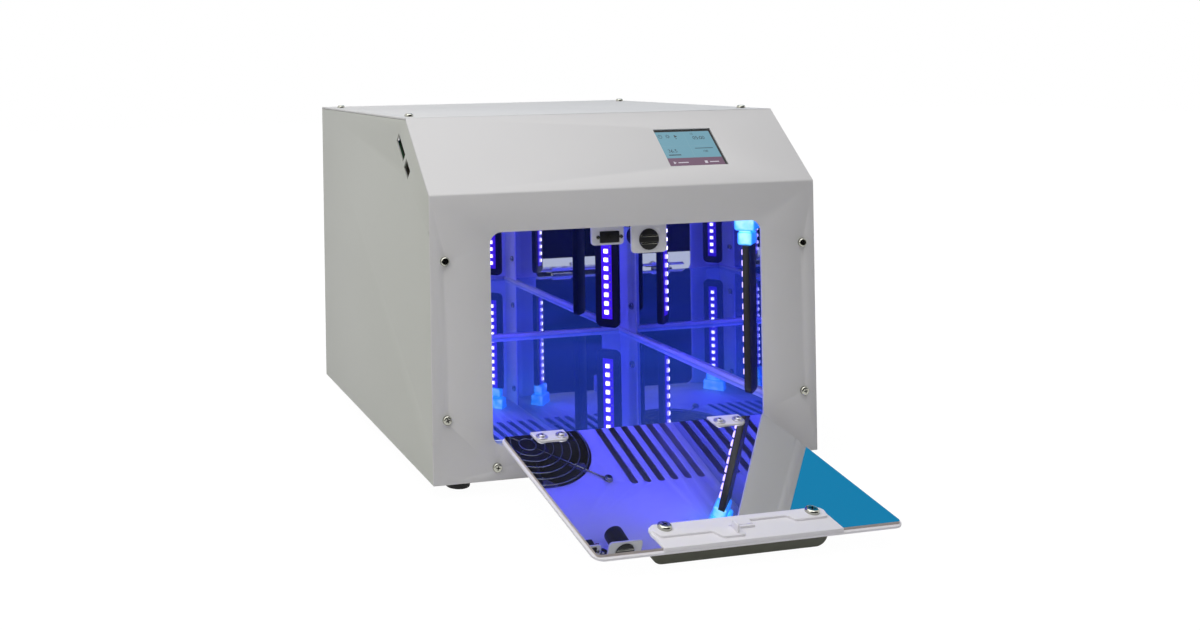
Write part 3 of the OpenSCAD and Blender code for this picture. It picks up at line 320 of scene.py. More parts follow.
def skin_on(tree, shader, colour, grain=900.0, depth=0.00003, stain=0.05, stain_scale=9.0,
            gloss=0.4, gloss_spread=0.1, strength=0.35):
    """Wires the skin group to a shader's colour, roughness and bump."""
    skin = tree.nodes.new("ShaderNodeGroup")
    skin.node_tree = SKIN
    skin.inputs["Grain Scale"].default_value = grain
    skin.inputs["Stain Scale"].default_value = stain_scale
    skin.inputs["Stain Depth"].default_value = stain
    skin.inputs["Gloss"].default_value = gloss
    skin.inputs["Gloss Spread"].default_value = gloss_spread
    tree.links.new(object_point(tree), skin.inputs["Point"])
    tint = place_node(tree, "ShaderNodeVectorMath", operation="SCALE")
    tint.inputs[0].default_value = colour
    tree.links.new(skin.outputs["Shade"], tint.inputs["Scale"])
    tree.links.new(tint.outputs[0], shader.inputs["Base Color"])
    tree.links.new(skin.outputs["Roughness"], shader.inputs["Roughness"])
    bump = place_node(tree, "ShaderNodeBump", Strength=strength, Distance=depth)
    tree.links.new(skin.outputs["Height"], bump.inputs["Height"])
    tree.links.new(bump.outputs[0], shader.inputs["Normal"])


def linear(red, green, blue):
    """Colour as read off a screen, 0 to 255, as the shader wants it."""
    return tuple(
        (part / 255 / 12.92) if part < 10.3 else ((part / 255 + 0.055) / 1.055) ** 2.4
        for part in (red, green, blue)
    )


def powder_coat(name, colour, gloss=0.42):
    material, tree, shader = new_material(name)
    skin_on(tree, shader, colour, grain=1400, depth=0.00004, stain=0.03, gloss=gloss, strength=0.25)
    shader.inputs["Specular IOR Level"].default_value = 0.4
    return material


def plain_metal(name, colour, gloss):
    material, tree, shader = new_material(name)
    skin_on(tree, shader, colour, grain=500, depth=0.00002, stain=0.12, stain_scale=60,
            gloss=gloss, gloss_spread=0.15, strength=0.2)
    shader.inputs["Metallic"].default_value = 1.0
    return material


def moulded(name, colour, gloss=0.45, grain=1500):
    material, tree, shader = new_material(name)
    skin_on(tree, shader, colour, grain=grain, depth=0.00003, stain=0.25, stain_scale=40,
            gloss=gloss, gloss_spread=0.2, strength=0.4)
    return material


def mirror_sheet(name, colour, metal=0.96, painted_haze=0.0):
    """Mirror with wiped streaks and dust; the blue light of the bars that they catch is a painted glow."""
    material, tree, shader = new_material(name)
    skin_on(tree, shader, colour, grain=60, depth=0.00001, stain=0.08, stain_scale=14,
            gloss=0.012, gloss_spread=0.02, strength=0.03)
    shader.inputs["Metallic"].default_value = metal
    # Painted light from here on: a faint blue glow stands in for the bars' light hazed in the mirror, stronger
    # along the wiped streaks, with painted glints on the dust specks.
    stretch = place_node(tree, "ShaderNodeMapping")
    stretch.inputs["Scale"].default_value = (5.0, 9.0, 38.0)
    tree.links.new(object_point(tree), stretch.inputs["Vector"])
    streaks = place_node(tree, "ShaderNodeTexNoise", Scale=1.0, Detail=5.0, Roughness=0.6)
    tree.links.new(stretch.outputs[0], streaks.inputs["Vector"])
    level = map_range(tree, streaks.outputs["Fac"], (0.3, 0.7), (0.8, 1.2))
    dust = place_node(tree, "ShaderNodeTexVoronoi", Scale=130.0)
    tree.links.new(object_point(tree), dust.inputs["Vector"])
    dust_glint = map_range(tree, dust.outputs["Distance"], (0.03, 0.07), (0.7, 0.0))
    power = math_node(tree, "MULTIPLY", math_node(tree, "ADD", level, dust_glint), painted_haze)
    shader.inputs["Emission Color"].default_value = (0.03, 0.12, 1.0, 1)
    tree.links.new(power, shader.inputs["Emission Strength"])
    return material


def glowing(name, colour, light, strength):
    material, tree, shader = new_material(name)
    skin_on(tree, shader, colour, grain=300, stain=0.3, stain_scale=80, gloss=0.3, gloss_spread=0.1)
    shader.inputs["Emission Color"].default_value = (*light, 1)
    shader.inputs["Emission Strength"].default_value = strength
    return material


def lit_plastic(name, colour):
    """Clear blue plastic with a painted glow for the bars' light inside it: pale and bright where it faces the
    view, deep azure at its edges.
    """
    material, tree, shader = new_material(name)
    skin_on(tree, shader, colour, grain=300, stain=0.3, stain_scale=80, gloss=0.22, gloss_spread=0.1)
    edge_on = place_node(tree, "ShaderNodeLayerWeight", Blend=0.35)
    clouds = place_node(tree, "ShaderNodeTexNoise", Scale=95.0, Detail=3.0, Roughness=0.6)
    tree.links.new(object_point(tree), clouds.inputs["Vector"])
    # Painted glow: brighter where the face turns to the view, with cloudy changes.
    painted_glow_level = math_node(tree, "SUBTRACT", clouds.outputs["Fac"], edge_on.outputs["Facing"])
    ramp = place_node(tree, "ShaderNodeValToRGB")
    stops = ramp.color_ramp.elements
    stops[0].position, stops[0].color = 0.0, (*linear(8, 110, 232), 1)
    stops[1].position, stops[1].color = 0.62, (*linear(178, 236, 255), 1)
    middle = stops.new(0.3)
    middle.color = (*linear(26, 178, 250), 1)
    tree.links.new(painted_glow_level, ramp.inputs["Fac"])
    tree.links.new(ramp.outputs["Color"], shader.inputs["Emission Color"])
    shader.inputs["Emission Strength"].default_value = 0.95
    return material


def dress(piece, material):
    """Gives the whole piece one material."""
    slots = piece.data.materials
    if not slots:
        slots.append(material)
    for index in range(len(slots)):
        slots[index] = material


hood_paint = powder_coat("hood_powder_coat", linear(222, 221, 221))
side_paint = powder_coat("side_powder_coat", linear(205, 207, 199))
chamber_paint = powder_coat("chamber_powder_coat", linear(228, 228, 232))
ceiling_paint = powder_coat("ceiling_powder_coat", linear(206, 206, 210))
door_paint = powder_coat("door_powder_coat", linear(242, 240, 244))
# The glow strength of each mirror below is a painted blue haze.
back_mirror = mirror_sheet("back_mirror", linear(212, 214, 222), metal=0.985, painted_haze=0.008)
side_mirror = mirror_sheet("side_mirror", linear(200, 208, 228), metal=0.975, painted_haze=0.01)
floor_mirror = mirror_sheet("floor_mirror", linear(200, 210, 226), painted_haze=0.2)
door_glass = mirror_sheet("door_mirror_sheet", linear(238, 240, 242), metal=0.985)
nickel = plain_metal("nickel_screws", linear(176, 176, 166), gloss=0.16)
pale_steel = plain_metal("pale_steel", linear(214, 212, 214), gloss=0.42)
# Painted shade: the cross recesses of the screw heads are coloured dark.
recess_painted_shade = moulded("screw_recess_painted_shade", linear(36, 35, 28), gloss=0.5)
zinc = plain_metal("zinc_plate", linear(178, 180, 182), gloss=0.38)
# Painted shade: the sockets are darkened so the port slots look dark inside.
socket_painted_shade = plain_metal("socket_painted_shade", linear(88, 84, 74), gloss=0.5)
black_anodised = moulded("black_anodised_bar", linear(24, 24, 26), gloss=0.42)
black_plastic = moulded("black_moulding", linear(22, 22, 23), gloss=0.5)
rubber = moulded("foot_rubber", linear(26, 26, 26), gloss=0.75, grain=2500)
board_green = moulded("circuit_board", linear(26, 84, 44), gloss=0.35)
brass = plain_metal("brass_standoff", linear(196, 160, 84), gloss=0.3)
red_sheath = moulded("red_wire_sheath", linear(150, 24, 20), gloss=0.4)
diode_glow = glowing("diode_glow", (0.8, 0.8, 0.9), linear(240, 228, 255), 5.0)
# Painted light: the tape between the diodes glows violet as a painted halo of the diodes' light.
tape_painted_halo = glowing("strip_face_painted_halo", linear(60, 40, 120), linear(66, 16, 228), 0.85)
cap_glow = lit_plastic("cap_plastic", linear(150, 225, 250))
strip_white = glowing("diode_frame", linear(200, 190, 235), linear(214, 190, 255), 1.6)
# Painted shade: the handle gets the dark olive of its shaded faces instead of a paint colour of its own.
handle_painted_shade = powder_coat("handle_coat_painted_shade", linear(96, 98, 82), gloss=0.5)
brown_sheath = moulded("brown_wire_sheath", linear(92, 48, 26), gloss=0.4)
mirror_edge = moulded("cut_mirror_edge", linear(186, 176, 172), gloss=0.5)
screen_teal = glowing("screen_teal", linear(60, 90, 100), linear(104, 160, 180), 0.62)
screen_plum = glowing("screen_plum", linear(60, 40, 55), linear(104, 70, 98), 0.62)
screen_line = glowing("screen_line", linear(60, 80, 90), linear(124, 172, 188), 0.65)
screen_pale = glowing("screen_pale", linear(90, 90, 95), linear(196, 190, 200), 0.85)
screen_dark = moulded("screen_ink", linear(30, 52, 62), gloss=0.3)

DRESS = {
    "base_pan": side_paint, "left_side_panel": side_paint, "right_side_panel": side_paint,
    "front_hood": hood_paint, "rear_panel": side_paint, "floor_deck": side_paint,
    "chamber_ceiling": ceiling_paint, "chamber_back_wall": chamber_paint, "corner_posts": chamber_paint,
    "mirror_floor": floor_mirror, "mirror_left": side_mirror, "mirror_right": side_mirror,
    "mirror_back": back_mirror, "floor_trim": chamber_paint, "chamber_screws": nickel,
    "fan_frame": black_plastic, "fan_guard": nickel, "fan_impeller": black_plastic,
    "display_module": black_plastic, "controller_board": board_green, "data_socket": socket_painted_shade,
    "card_socket": socket_painted_shade, "board_standoffs": brass, "power_supply": zinc, "led_driver": board_green,
    "mains_inlet": black_plastic, "power_switch": black_plastic, "power_rocker": black_plastic,
    "catch_bracket": chamber_paint, "magnetic_catch": black_plastic, "switch_bracket": chamber_paint,
    "door_switch": black_plastic, "switch_plunger": black_plastic, "switch_wires": red_sheath,
    "hinge_body_leaves": zinc, "casing_screws": nickel, "rear_screws": nickel, "feet": rubber,
    "foot_screws": nickel, "door_panel": door_paint, "door_mirror": door_glass,
    "hinge_plates": door_paint, "hinge_door_leaves": zinc, "hinge_pins": nickel,
    "hinge_screws": nickel, "latch_plate": door_paint, "door_handle": door_paint,
    "handle_screws": nickel,
}
for corner in ("front_left", "front_right", "rear_left", "rear_right"):
    DRESS["led_bar_" + corner] = black_anodised
    DRESS["led_strip_" + corner] = diode_glow
    DRESS["bar_cap_" + corner] = cap_glow
for node, material in DRESS.items():
    dress(frame_node(node), material)


# ---------------------------------------------------------------- light bars
CORNERS = {"front_left": (-1, 1), "front_right": (1, 1), "rear_left": (-1, -1), "rear_right": (1, -1)}


def bar_matrix(side, front):
    """Stands a piece made at a bar's axis in its corner, turned towards the chamber's middle."""
    angle = front * (135 if side > 0 else 45)
    spot = at(side * BAR_X, BAR_FRONT if front > 0 else BAR_REAR, 0)
    return Matrix.Translation(spot) @ Matrix.Rotation(math.radians(angle), 4, "Z")


def pick_faces(piece, wanted):
    """Selects, in edit mode, the faces for which wanted(centre, normal) is true."""
    select_only(piece)
    bpy.ops.object.mode_set(mode="EDIT")
    bpy.ops.mesh.select_mode(type="FACE")
    bpy.ops.mesh.select_all(action="DESELECT")
    bpy.ops.object.mode_set(mode="OBJECT")
    for face in piece.data.polygons:
        face.select = wanted(face.center, face.normal)
    bpy.ops.object.mode_set(mode="EDIT")


DIODES, DIODE_PITCH, FIRST_DIODE = 12, 10, 62.3


def diode():
    """One light diode: a white frame with a sunken glowing square."""
    chip = local_block("diode", (3.9, -2.5, -2.5), (6.2, 2.5, 2.5), 0.5, 3)
    dress(chip, strip_white)
    chip.data.materials.append(diode_glow)
    pick_faces(chip, lambda centre, normal: normal.x > 0.95)
    bpy.ops.mesh.inset(thickness=0.35 * MM)
    bpy.ops.mesh.extrude_region_move(TRANSFORM_OT_translate={"value": (-0.2 * MM, 0, 0)})
    chip.active_material_index = 1
    bpy.ops.object.material_slot_assign()
    bpy.ops.object.mode_set(mode="OBJECT")
    return chip


def light_strips():
    first = diode()
    for corner, (side, front) in CORNERS.items():
        matrix = bar_matrix(side, front)
        tape = local_block("tape", (3.0, -6.0, 54.3), (4.0, 6.0, 180.0), 0.2, 2)
        # Painted halo: the tape glows violet round the diodes.
        dress(tape, tape_painted_halo)
        heights = [FIRST_DIODE + DIODE_PITCH * i for i in range(DIODES)]
        chips = [copy_of(first, Matrix.Translation(raw(0, 0, height))) for height in heights]
        pads = [local_block("solder", (3.95, 3.4, height + 3.8), (4.2, 4.8, height + 5.6), 0.1, 2)
                for height in heights]
        for pad in pads:
            dress(pad, zinc)
        strip = join("light_strip_" + corner, [tape] + chips + pads)
        strip.data.transform(matrix)
        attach(strip, "root")
        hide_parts("led_strip_" + corner)
    bpy.data.objects.remove(first)


def bar_caps():
    for corner, (side, front) in CORNERS.items():
        collar = local_block("collar", (-5, -11, 180), (8, 11, 192), 2.2, 4)
        neck = local_block("neck", (-3.5, -9, 191.5), (6.5, 9, 194), 0)
        flange = local_block("flange", (-8, -15, 193.5), (10, 15, 208), 2.6, 4)
        lip = local_block("lip", (-8, -15, 204.5), (10, 15, 208), 0.8)
        cap = join("cap_" + corner, [collar, neck, flange, lip])
        dress(cap, cap_glow)
        cap.data.transform(bar_matrix(side, front))
        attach(cap, "root")
        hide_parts("bar_cap_" + corner)


# ---------------------------------------------------------------- fan
def guard_wires():
    """Round wire guard under the ceiling: rings, four diagonal spokes and their screw eyes."""
    hub = Vector((0, FAN_Y, 206.9))
    wire, ring_pitch, spoke_length, eye_radius = 0.75, 9, 75, 4
    spoke_middle, eye_middle, spoke_lift = 46.5, 88, Vector((0, 0, 0.3))
    parts = []
    for count in range(1, 8):
        clear_selection()
        bpy.ops.mesh.primitive_torus_add(location=at(*hub), major_radius=ring_pitch * count * MM,
                                         minor_radius=wire * MM, major_segments=72, minor_segments=10)
        parts.append(settle(name_it("ring")))
    for turn in (45, 135, 225, 315):
        out = Vector((math.cos(math.radians(turn)), math.sin(math.radians(turn)), 0))
        clear_selection()
        bpy.ops.mesh.primitive_cylinder_add(vertices=12, radius=wire * MM, depth=spoke_length * MM,
                                            location=at(*(hub + out * spoke_middle + spoke_lift)),
                                            rotation=(math.pi / 2, 0, math.radians(turn + 90)))
        parts.append(settle(name_it("spoke")))
        clear_selection()
        bpy.ops.mesh.primitive_torus_add(location=at(*(hub + out * eye_middle)), major_radius=eye_radius * MM,
                                         minor_radius=wire * MM, major_segments=32, minor_segments=10)
        parts.append(settle(name_it("eye")))
    guard = join("fan_guard_wires", parts)
    bpy.ops.object.shade_smooth()
    dress(guard, nickel)
    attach(guard, "root")
    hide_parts("fan_guard")


# ---------------------------------------------------------------- screws
def pan_head(name, radius, height):
    """Domed nickel head above zero with a cross recess painted dark as shade."""
    clear_selection()
    bpy.ops.mesh.primitive_cylinder_add(vertices=40, radius=radius * MM, depth=height * MM,
                                        location=raw(0, 0, height / 2))
    head = settle(name_it(name))
    pick_faces(head, lambda centre, normal: normal.z > 0.95)
    bpy.ops.mesh.bevel(offset=height * 0.62 * MM, segments=7, affect="EDGES", profile=0.5)
    bpy.ops.object.mode_set(mode="OBJECT")
    dress(head, nickel)
    reach, half_width, floor, over = radius * 0.48, radius * 0.11, height * 0.45, height * 1.4
    for along_x, along_y in ((reach, half_width), (half_width, reach)):
        arm = local_block("arm", (-along_x, -along_y, floor), (along_x, along_y, over), 0)
        # The cut faces of the cross take the painted shade.
        dress(arm, recess_painted_shade)
        use_modifier(head, "BOOLEAN", operation="DIFFERENCE", object=arm, solver="EXACT",
                     material_mode="TRANSFER")
        bpy.data.objects.remove(arm)
    select_only(head)
    bpy.ops.object.shade_smooth_by_angle(angle=math.radians(38))
    return head


def facing(point, direction, spin=0.0):
    """Matrix that stands a head made along Z at a point, looking in a direction."""
    turn = Vector(direction).to_track_quat("Z", "Y").to_matrix().to_4x4()
    return Matrix.Translation(point) @ turn @ Matrix.Rotation(math.radians(spin), 4, "Z")


def set_of_heads(name, node, proto, places, body="root", extra=()):
    """Copies a head to each place, every one turned a little further, and joins them."""
    heads = [copy_of(proto, facing(at(*place), direction, 20 + 37 * i))
             for i, (place, direction) in enumerate(places)]
    joined = join(name, heads + list(extra))
    if body == "door":
        joined.data.transform(DOOR_OPEN)
    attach(joined, body)
    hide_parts(node)


def casing_screw_places():
    places = [((side * SIDE_SCREW_X, 0, z), FORWARD) for side in SIDES for z in SIDE_SCREW_Z]
    places += [((side * LOW_SCREW_X, 0, LOW_SCREW_Z), FORWARD) for side in SIDES]
    places += [((side * SIDE_SCREW_X, y, HEIGHT), UPWARD) for side in SIDES for y in (91, 338)]
    return places + [((x, -1.5, 17.3), FORWARD) for x in hinge_screw_columns()]


def rear_screw_places():
    inlet_x, inlet_z = 112, 258
    places = [((side * SIDE_SCREW_X, DEPTH, z), BACK) for side in SIDES for z in (*SIDE_SCREW_Z, 281)]
    places += [((side * LOW_SCREW_X, DEPTH, LOW_SCREW_Z), BACK) for side in SIDES]
    return places + [((inlet_x + side * 20, DEPTH + 0.6, inlet_z), BACK) for side in SIDES]


def chamber_screw_places():
    """Screws of the fan, the two brackets, the corner posts and the light bars."""
    fan_step = 62.25
    places = [((x * fan_step, FAN_Y + y * fan_step, CEILING_SCREW_Z - 0.1), DOWN) for x in SIDES for y in SIDES]
    places += [((MAGNET_X + side * 13, 22.8, CEILING_SCREW_Z), DOWN) for side in SIDES]
    places += [((SWITCH_X + side * 6, 35.5, CEILING_SCREW_Z), DOWN) for side in SIDES]
    places += [((side * 174.3, y, z), (-side, 0, 0)) for side in SIDES for y in (34, 328.6) for z in (65.2, 186)]
    for side, front in CORNERS.values():
        for step in SIDES:
            spot = (bar_matrix(side, front) @ raw(0, step * 9, 209.5) - at(0, 0, 0)) / MM
            places.append((spot, UPWARD))
    return places


def hinge_screw_columns():
    return [side * HINGE_X + step * HINGE_STEP for side in SIDES for step in SIDES]


def screws():
    small = pan_head("small_head", 4, 2.8)
    set_of_heads("casing_screw_heads", "casing_screws", small, casing_screw_places())
    set_of_heads("rear_screw_heads", "rear_screws", small, rear_screw_places())
    set_of_heads("chamber_screw_heads", "chamber_screws", small, chamber_screw_places())
    button = pan_head("button_head", 2.9, 1.7)
    button.data.materials[0] = pale_steel
    washers, nuts = [], []
    hinge_screw_z = 39.5
    for x in hinge_screw_columns():
        washer = drum("washer", (x, 5.5, hinge_screw_z), 5, 1, "Y", 0.3, 40)
        dress(washer, pale_steel)
        washers.append(washer)
        nut = drum("nut", (x, -2.7, hinge_screw_z), 3.4, 2.4, "Y", 0.4, 6)
        dress(nut, nickel)
        nuts.append(nut)
    hinge_places = [((x, 6, hinge_screw_z), BACK) for x in hinge_screw_columns()]
    set_of_heads("hinge_screw_heads", "hinge_screws", button, hinge_places, "door", washers + nuts)
    big = pan_head("big_head", 5.2, 3.0)
    handle_places = [((side * 60, LATCH_FACE, 185.5), BACK) for side in SIDES]
    set_of_heads("handle_screw_heads", "handle_screws", big, handle_places, "door")
    for proto in (small, button, big):
        bpy.data.objects.remove(proto)


# ---------------------------------------------------------------- door
def on_door(piece, node):
    """Folds down a piece that was drawn on the closed door."""
    piece.data.transform(DOOR_OPEN)
    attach(piece, "door")
    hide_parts(node)


def door_sheet():
    outline = rounded(-DOOR_HALF, DOOR_LOW, DOOR_HALF, DOOR_TOP, 8, 10)
    panel = plate("door_sheet", outline, 0, DOOR_THICK, 0.45)
    dress(panel, door_paint)
    on_door(panel, "door_panel")


def door_mirror_sheet():
    """Mirror on the door, with two cut-outs round the hinge plates and a plain cut edge."""
    rim = 2.5
    low, high, half = DOOR_LOW + rim, DOOR_TOP - rim, DOOR_HALF - rim
    notch_half, notch_top = HINGE_PLATE_HALF + 0.5, HINGE_PLATE_TOP + 0.5
    notches = []
    for side in SIDES:
        left, right = side * HINGE_X - notch_half, side * HINGE_X + notch_half
        notch = rounded(left, DOOR_LOW, right, notch_top, 8, 8, (0, 0, 1, 1))
        top = [point for point in notch if point[1] > DOOR_LOW]
        top.sort(key=lambda point: point[0])
        notches += [(left, low)] + top + [(right, low)]
    corner_steps = 5
    outline = rounded(-half, low, half, high, 3, corner_steps)
    lower_left, rest = outline[:corner_steps + 1], outline[corner_steps + 1:]
    sheet = plate("door_mirror_sheet", lower_left + notches + rest, DOOR_THICK, MIRROR_THICK, 0)
    dress(sheet, door_glass)
    sheet.data.materials.append(mirror_edge)
    pick_faces(sheet, lambda centre, normal: abs(normal.y) < 0.5)
    sheet.active_material_index = 1
    bpy.ops.object.material_slot_assign()
    bpy.ops.object.mode_set(mode="OBJECT")
    on_door(sheet, "door_mirror")


def hinge_clamps():
    made = []
    for side in SIDES:
        left, right = side * HINGE_X - HINGE_PLATE_HALF, side * HINGE_X + HINGE_PLATE_HALF
        outline = rounded(left, DOOR_LOW, right, HINGE_PLATE_TOP, 8, 8, (0, 0, 1, 1))
        made.append(plate("clamp", outline, DOOR_THICK, 3, 0.5))
    clamps = join("hinge_clamps", made)
    dress(clamps, door_paint)
    on_door(clamps, "hinge_plates")


def latch():
    """Latch plate in two steps, with its slit and the fin that works the door switch."""
    outline = rounded(-LATCH_HALF, LATCH_LOW, LATCH_HALF, DOOR_TOP, 5, 8, (1, 1, 0, 0))
    base = plate("latch_base", outline, DOOR_THICK + MIRROR_THICK, 1.2, 0.4)
    lip = block("latch_lip", (-LATCH_HALF, DOOR_THICK, 204.8), (LATCH_HALF, 4.5, DOOR_TOP), 0.3, 2)
    inner_half = LATCH_HALF - 1
    lower_corners = rounded(-inner_half, 180.3, inner_half, 205, 5, 8, (1, 1, 0, 0))[:-2]
    steps = [
        (70.5, 185.4), (68.5, 191.6), (66.5, 192.6), (43.5, 192.6), (41.5, 192.0), (38.5, 187.0), (36.8, 186.2),
        (7.5, 186.2), (7.5, 194.0), (-5.4, 194.0), (-5.4, 202.2), (-7, 203.4), (-22.4, 203.4), (-24, 202.2),
        (-26.8, 196.4), (-28.5, 195.2), (-66.5, 195.2), (-68.5, 194.0), (-70.5, 187),
    ]
    relief = plate("latch_relief", lower_corners + steps, LATCH_FACE - 2, 2.0, 0.35)
    blade = block("fin", (SWITCH_X - 0.75, 6.5, 193), (SWITCH_X + 0.75, 12.5, 201), 0.45)
    slit = block("slit", (-13, 6.3, 191.25), (7, 8.0, 192.05), 0)
    use_modifier(relief, "BOOLEAN", operation="DIFFERENCE", object=slit, solver="EXACT")
    bpy.data.objects.remove(slit)
    plate_and_fin = join("latch_plate_stepped", [base, lip, relief, blade])
    dress(plate_and_fin, door_paint)
    on_door(plate_and_fin, "latch_plate")


def handle():
    """Grip whose two upright outer edges are rounded."""
    grip = block("door_handle_grip", (-LATCH_HALF, -HANDLE_OUT, HANDLE_LOW), (LATCH_HALF, 0, HANDLE_TOP), 0)
    select_only(grip)
    bpy.ops.object.mode_set(mode="EDIT")
    bpy.ops.mesh.select_mode(type="EDGE")
    bpy.ops.mesh.select_all(action="DESELECT")
    bpy.ops.object.mode_set(mode="OBJECT")
    outer = at(0, -HANDLE_OUT, 0).y
    for edge in grip.data.edges:
        a, b = (grip.data.vertices[i].co for i in edge.vertices)
        edge.select = abs(a.y - outer) < 1e-5 and abs(b.y - outer) < 1e-5 and abs(a.x - b.x) < 1e-5
    bpy.ops.object.mode_set(mode="EDIT")
    bpy.ops.mesh.bevel(offset=9 * MM, segments=12, affect="EDGES")
    bpy.ops.object.mode_set(mode="OBJECT")
    soften(grip, 0.7, 3, 50)
    # The grip takes the painted shade colour.
    dress(grip, handle_painted_shade)
    on_door(grip, "door_handle")


# ---------------------------------------------------------------- display
def slope_matrix():
    """Places a piece drawn flat on the slope: X across, Y up the slope, Z out of it."""
    return Matrix.Translation(at(0, 0, SLOPE_FOOT)) @ Matrix.Rotation(math.radians(45), 4, "X")


def screen_mark(kind, size, place, colour, text=None):
    """One flat mark on the screen, at a place from the screen's middle, in millimetres."""
    thin = 0.02 * MM
    clear_selection()
    if kind == "text":
        bpy.ops.object.text_add()
        words = bpy.context.object
        words.data.body = text
        words.data.size = size * MM
        words.data.extrude = 0.01 * MM
        words.data.align_x = "CENTER"
        words.data.align_y = "CENTER"
        bpy.ops.object.convert(target="MESH")
    elif kind == "disc":
        bpy.ops.mesh.primitive_cylinder_add(vertices=24, radius=size * MM, depth=thin)
    elif kind == "ring":
        bpy.ops.mesh.primitive_torus_add(major_radius=size * MM, minor_radius=0.22 * MM,
                                         major_segments=32, minor_segments=6)
        bpy.context.object.scale.z = 0.05
    elif kind == "wedge":
        bpy.ops.mesh.primitive_cylinder_add(vertices=3, radius=size * MM, depth=thin,
                                            rotation=(0, 0, -math.pi / 2))
    else:
        bpy.ops.mesh.primitive_cube_add(size=1, scale=(size[0] * MM, size[1] * MM, thin))
    mark = settle(name_it("mark"))
    mark.data.transform(Matrix.Translation(raw(place[0], place[1], 0.12)))
    dress(mark, colour)
    return mark


def display():
    """Picture on the screen: icons, plain numbers and a footer on a teal ground."""
    ink, pale = screen_dark, screen_pale
    dial, icon_row, footer_row = -15.5, 15.2, -15.8
    ground = screen_mark("bar", (55.0, 41.2), (0, 0), screen_teal)
    ground.data.transform(Matrix.Translation(raw(0, 0, -0.06)))
    footer = screen_mark("bar", (55.0, 10.2), (0, -15.5), screen_plum)
    footer.data.transform(Matrix.Translation(raw(0, 0, -0.03)))
    marks = [
        ground, footer,
        screen_mark("bar", (0.35, 30.5), (1.5, 5.0), screen_line),
        screen_mark("bar", (54.0, 0.35), (0, 3.4), screen_line),
        screen_mark("ring", 1.9, (-23, icon_row), ink), screen_mark("bar", (0.45, 1.7), (-23, 15.9), ink),
        screen_mark("ring", 1.2, (dial, icon_row), ink),
        screen_mark("wedge", 2.0, (-8, icon_row), ink), screen_mark("disc", 0.6, (-8, 12.4), ink),
        screen_mark("text", 5.4, (14.5, 12.6), ink, "05:00"), screen_mark("text", 3.0, (9, 17.6), ink, "12"),
        screen_mark("text", 5.4, (-17.5, -2.2), ink, "36.5"), screen_mark("text", 3.4, (14.5, -3.4), ink, "100"),
        screen_mark("bar", (18, 0.7), (14.5, 0.4), ink), screen_mark("bar", (12, 1.1), (-17, -6.8), ink),
        screen_mark("wedge", 1.8, (-21, footer_row), pale),
        screen_mark("bar", (10, 1.0), (-12.5, footer_row), pale),
        screen_mark("bar", (2.8, 2.8), (10, footer_row), pale),
        screen_mark("bar", (9, 1.0), (18, footer_row), pale),
    ]
    for step in range(8):
        turn = math.radians(45 * step)
        spot = (dial + 2.0 * math.cos(turn), icon_row + 2.0 * math.sin(turn))
        marks.append(screen_mark("disc", 0.28, spot, ink))
    face = join("display_picture", marks)
    screen_middle = raw(77.0, 42.7, -1.5)
    face.data.transform(slope_matrix() @ Matrix.Translation(screen_middle))
    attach(face, "root")


# ---------------------------------------------------------------- catch and switch
def twisted_wires():
    """Red and brown wires twisted round each other from the switch up through the ceiling."""
    steps, bend, half_turns, wire_radius = 40, 0.3, 9, 0.75
    start, across, rise = Vector((-1.5, 23.5, SWITCH_Z)), 6.4, 24
    made = []
    for order, sheath in enumerate((red_sheath, brown_sheath)):
        points = []
        for i in range(steps):
            share = i / (steps - 1)
            turn = share * half_turns * math.pi + order * math.pi
            if share < bend:
                centre = start + Vector((across * share / bend, 0, 0))
                radial = Vector((0, math.cos(turn), math.sin(turn)))
            else:
                centre = start + Vector((across, 0, rise * (share - bend) / (1 - bend)))
                radial = Vector((math.sin(turn), math.cos(turn), 0))
            points.append(at(*(centre + radial * wire_radius)))
        clear_selection()
        bpy.ops.curve.primitive_bezier_curve_add()
        wire = bpy.context.object
        wire.data.splines.clear()
        spline = wire.data.splines.new("POLY")
        spline.points.add(len(points) - 1)
        for point, place in zip(spline.points, points):
            point.co = (*place, 1)
        wire.data.bevel_depth = wire_radius * MM
        wire.data.bevel_resolution = 3
        bpy.ops.object.convert(target="MESH")
        piece = settle(name_it("wire"))
        bpy.ops.object.shade_smooth()
        dress(piece, sheath)
        made.append(piece)
    wires = join("twisted_switch_wires", made)
    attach(wires, "root")
    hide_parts("switch_wires")


def magnet():
    """Round magnetic catch with its collar and two steel poles."""
    body = drum("magnet_case", (MAGNET_X, 20, MAGNET_Z), 9.2, 24.8, "Y", 0.5, 64)
    ring = drum("collar", (MAGNET_X, 11.4, MAGNET_Z), 10.8, 2, "Y", 0.4, 64)
    dress(body, black_plastic)
    dress(ring, black_plastic)
    poles = []
    for z in (MAGNET_Z - 3.2, MAGNET_Z + 3.2):
        pole = block("pole", (MAGNET_X - 8, 7.35, z - 0.9), (MAGNET_X + 8, 9, z + 0.9))
        dress(pole, nickel)
        poles.append(pole)
    catch = join("magnet_with_poles", [body, ring] + poles)
    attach(catch, "root")
    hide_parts("magnetic_catch")


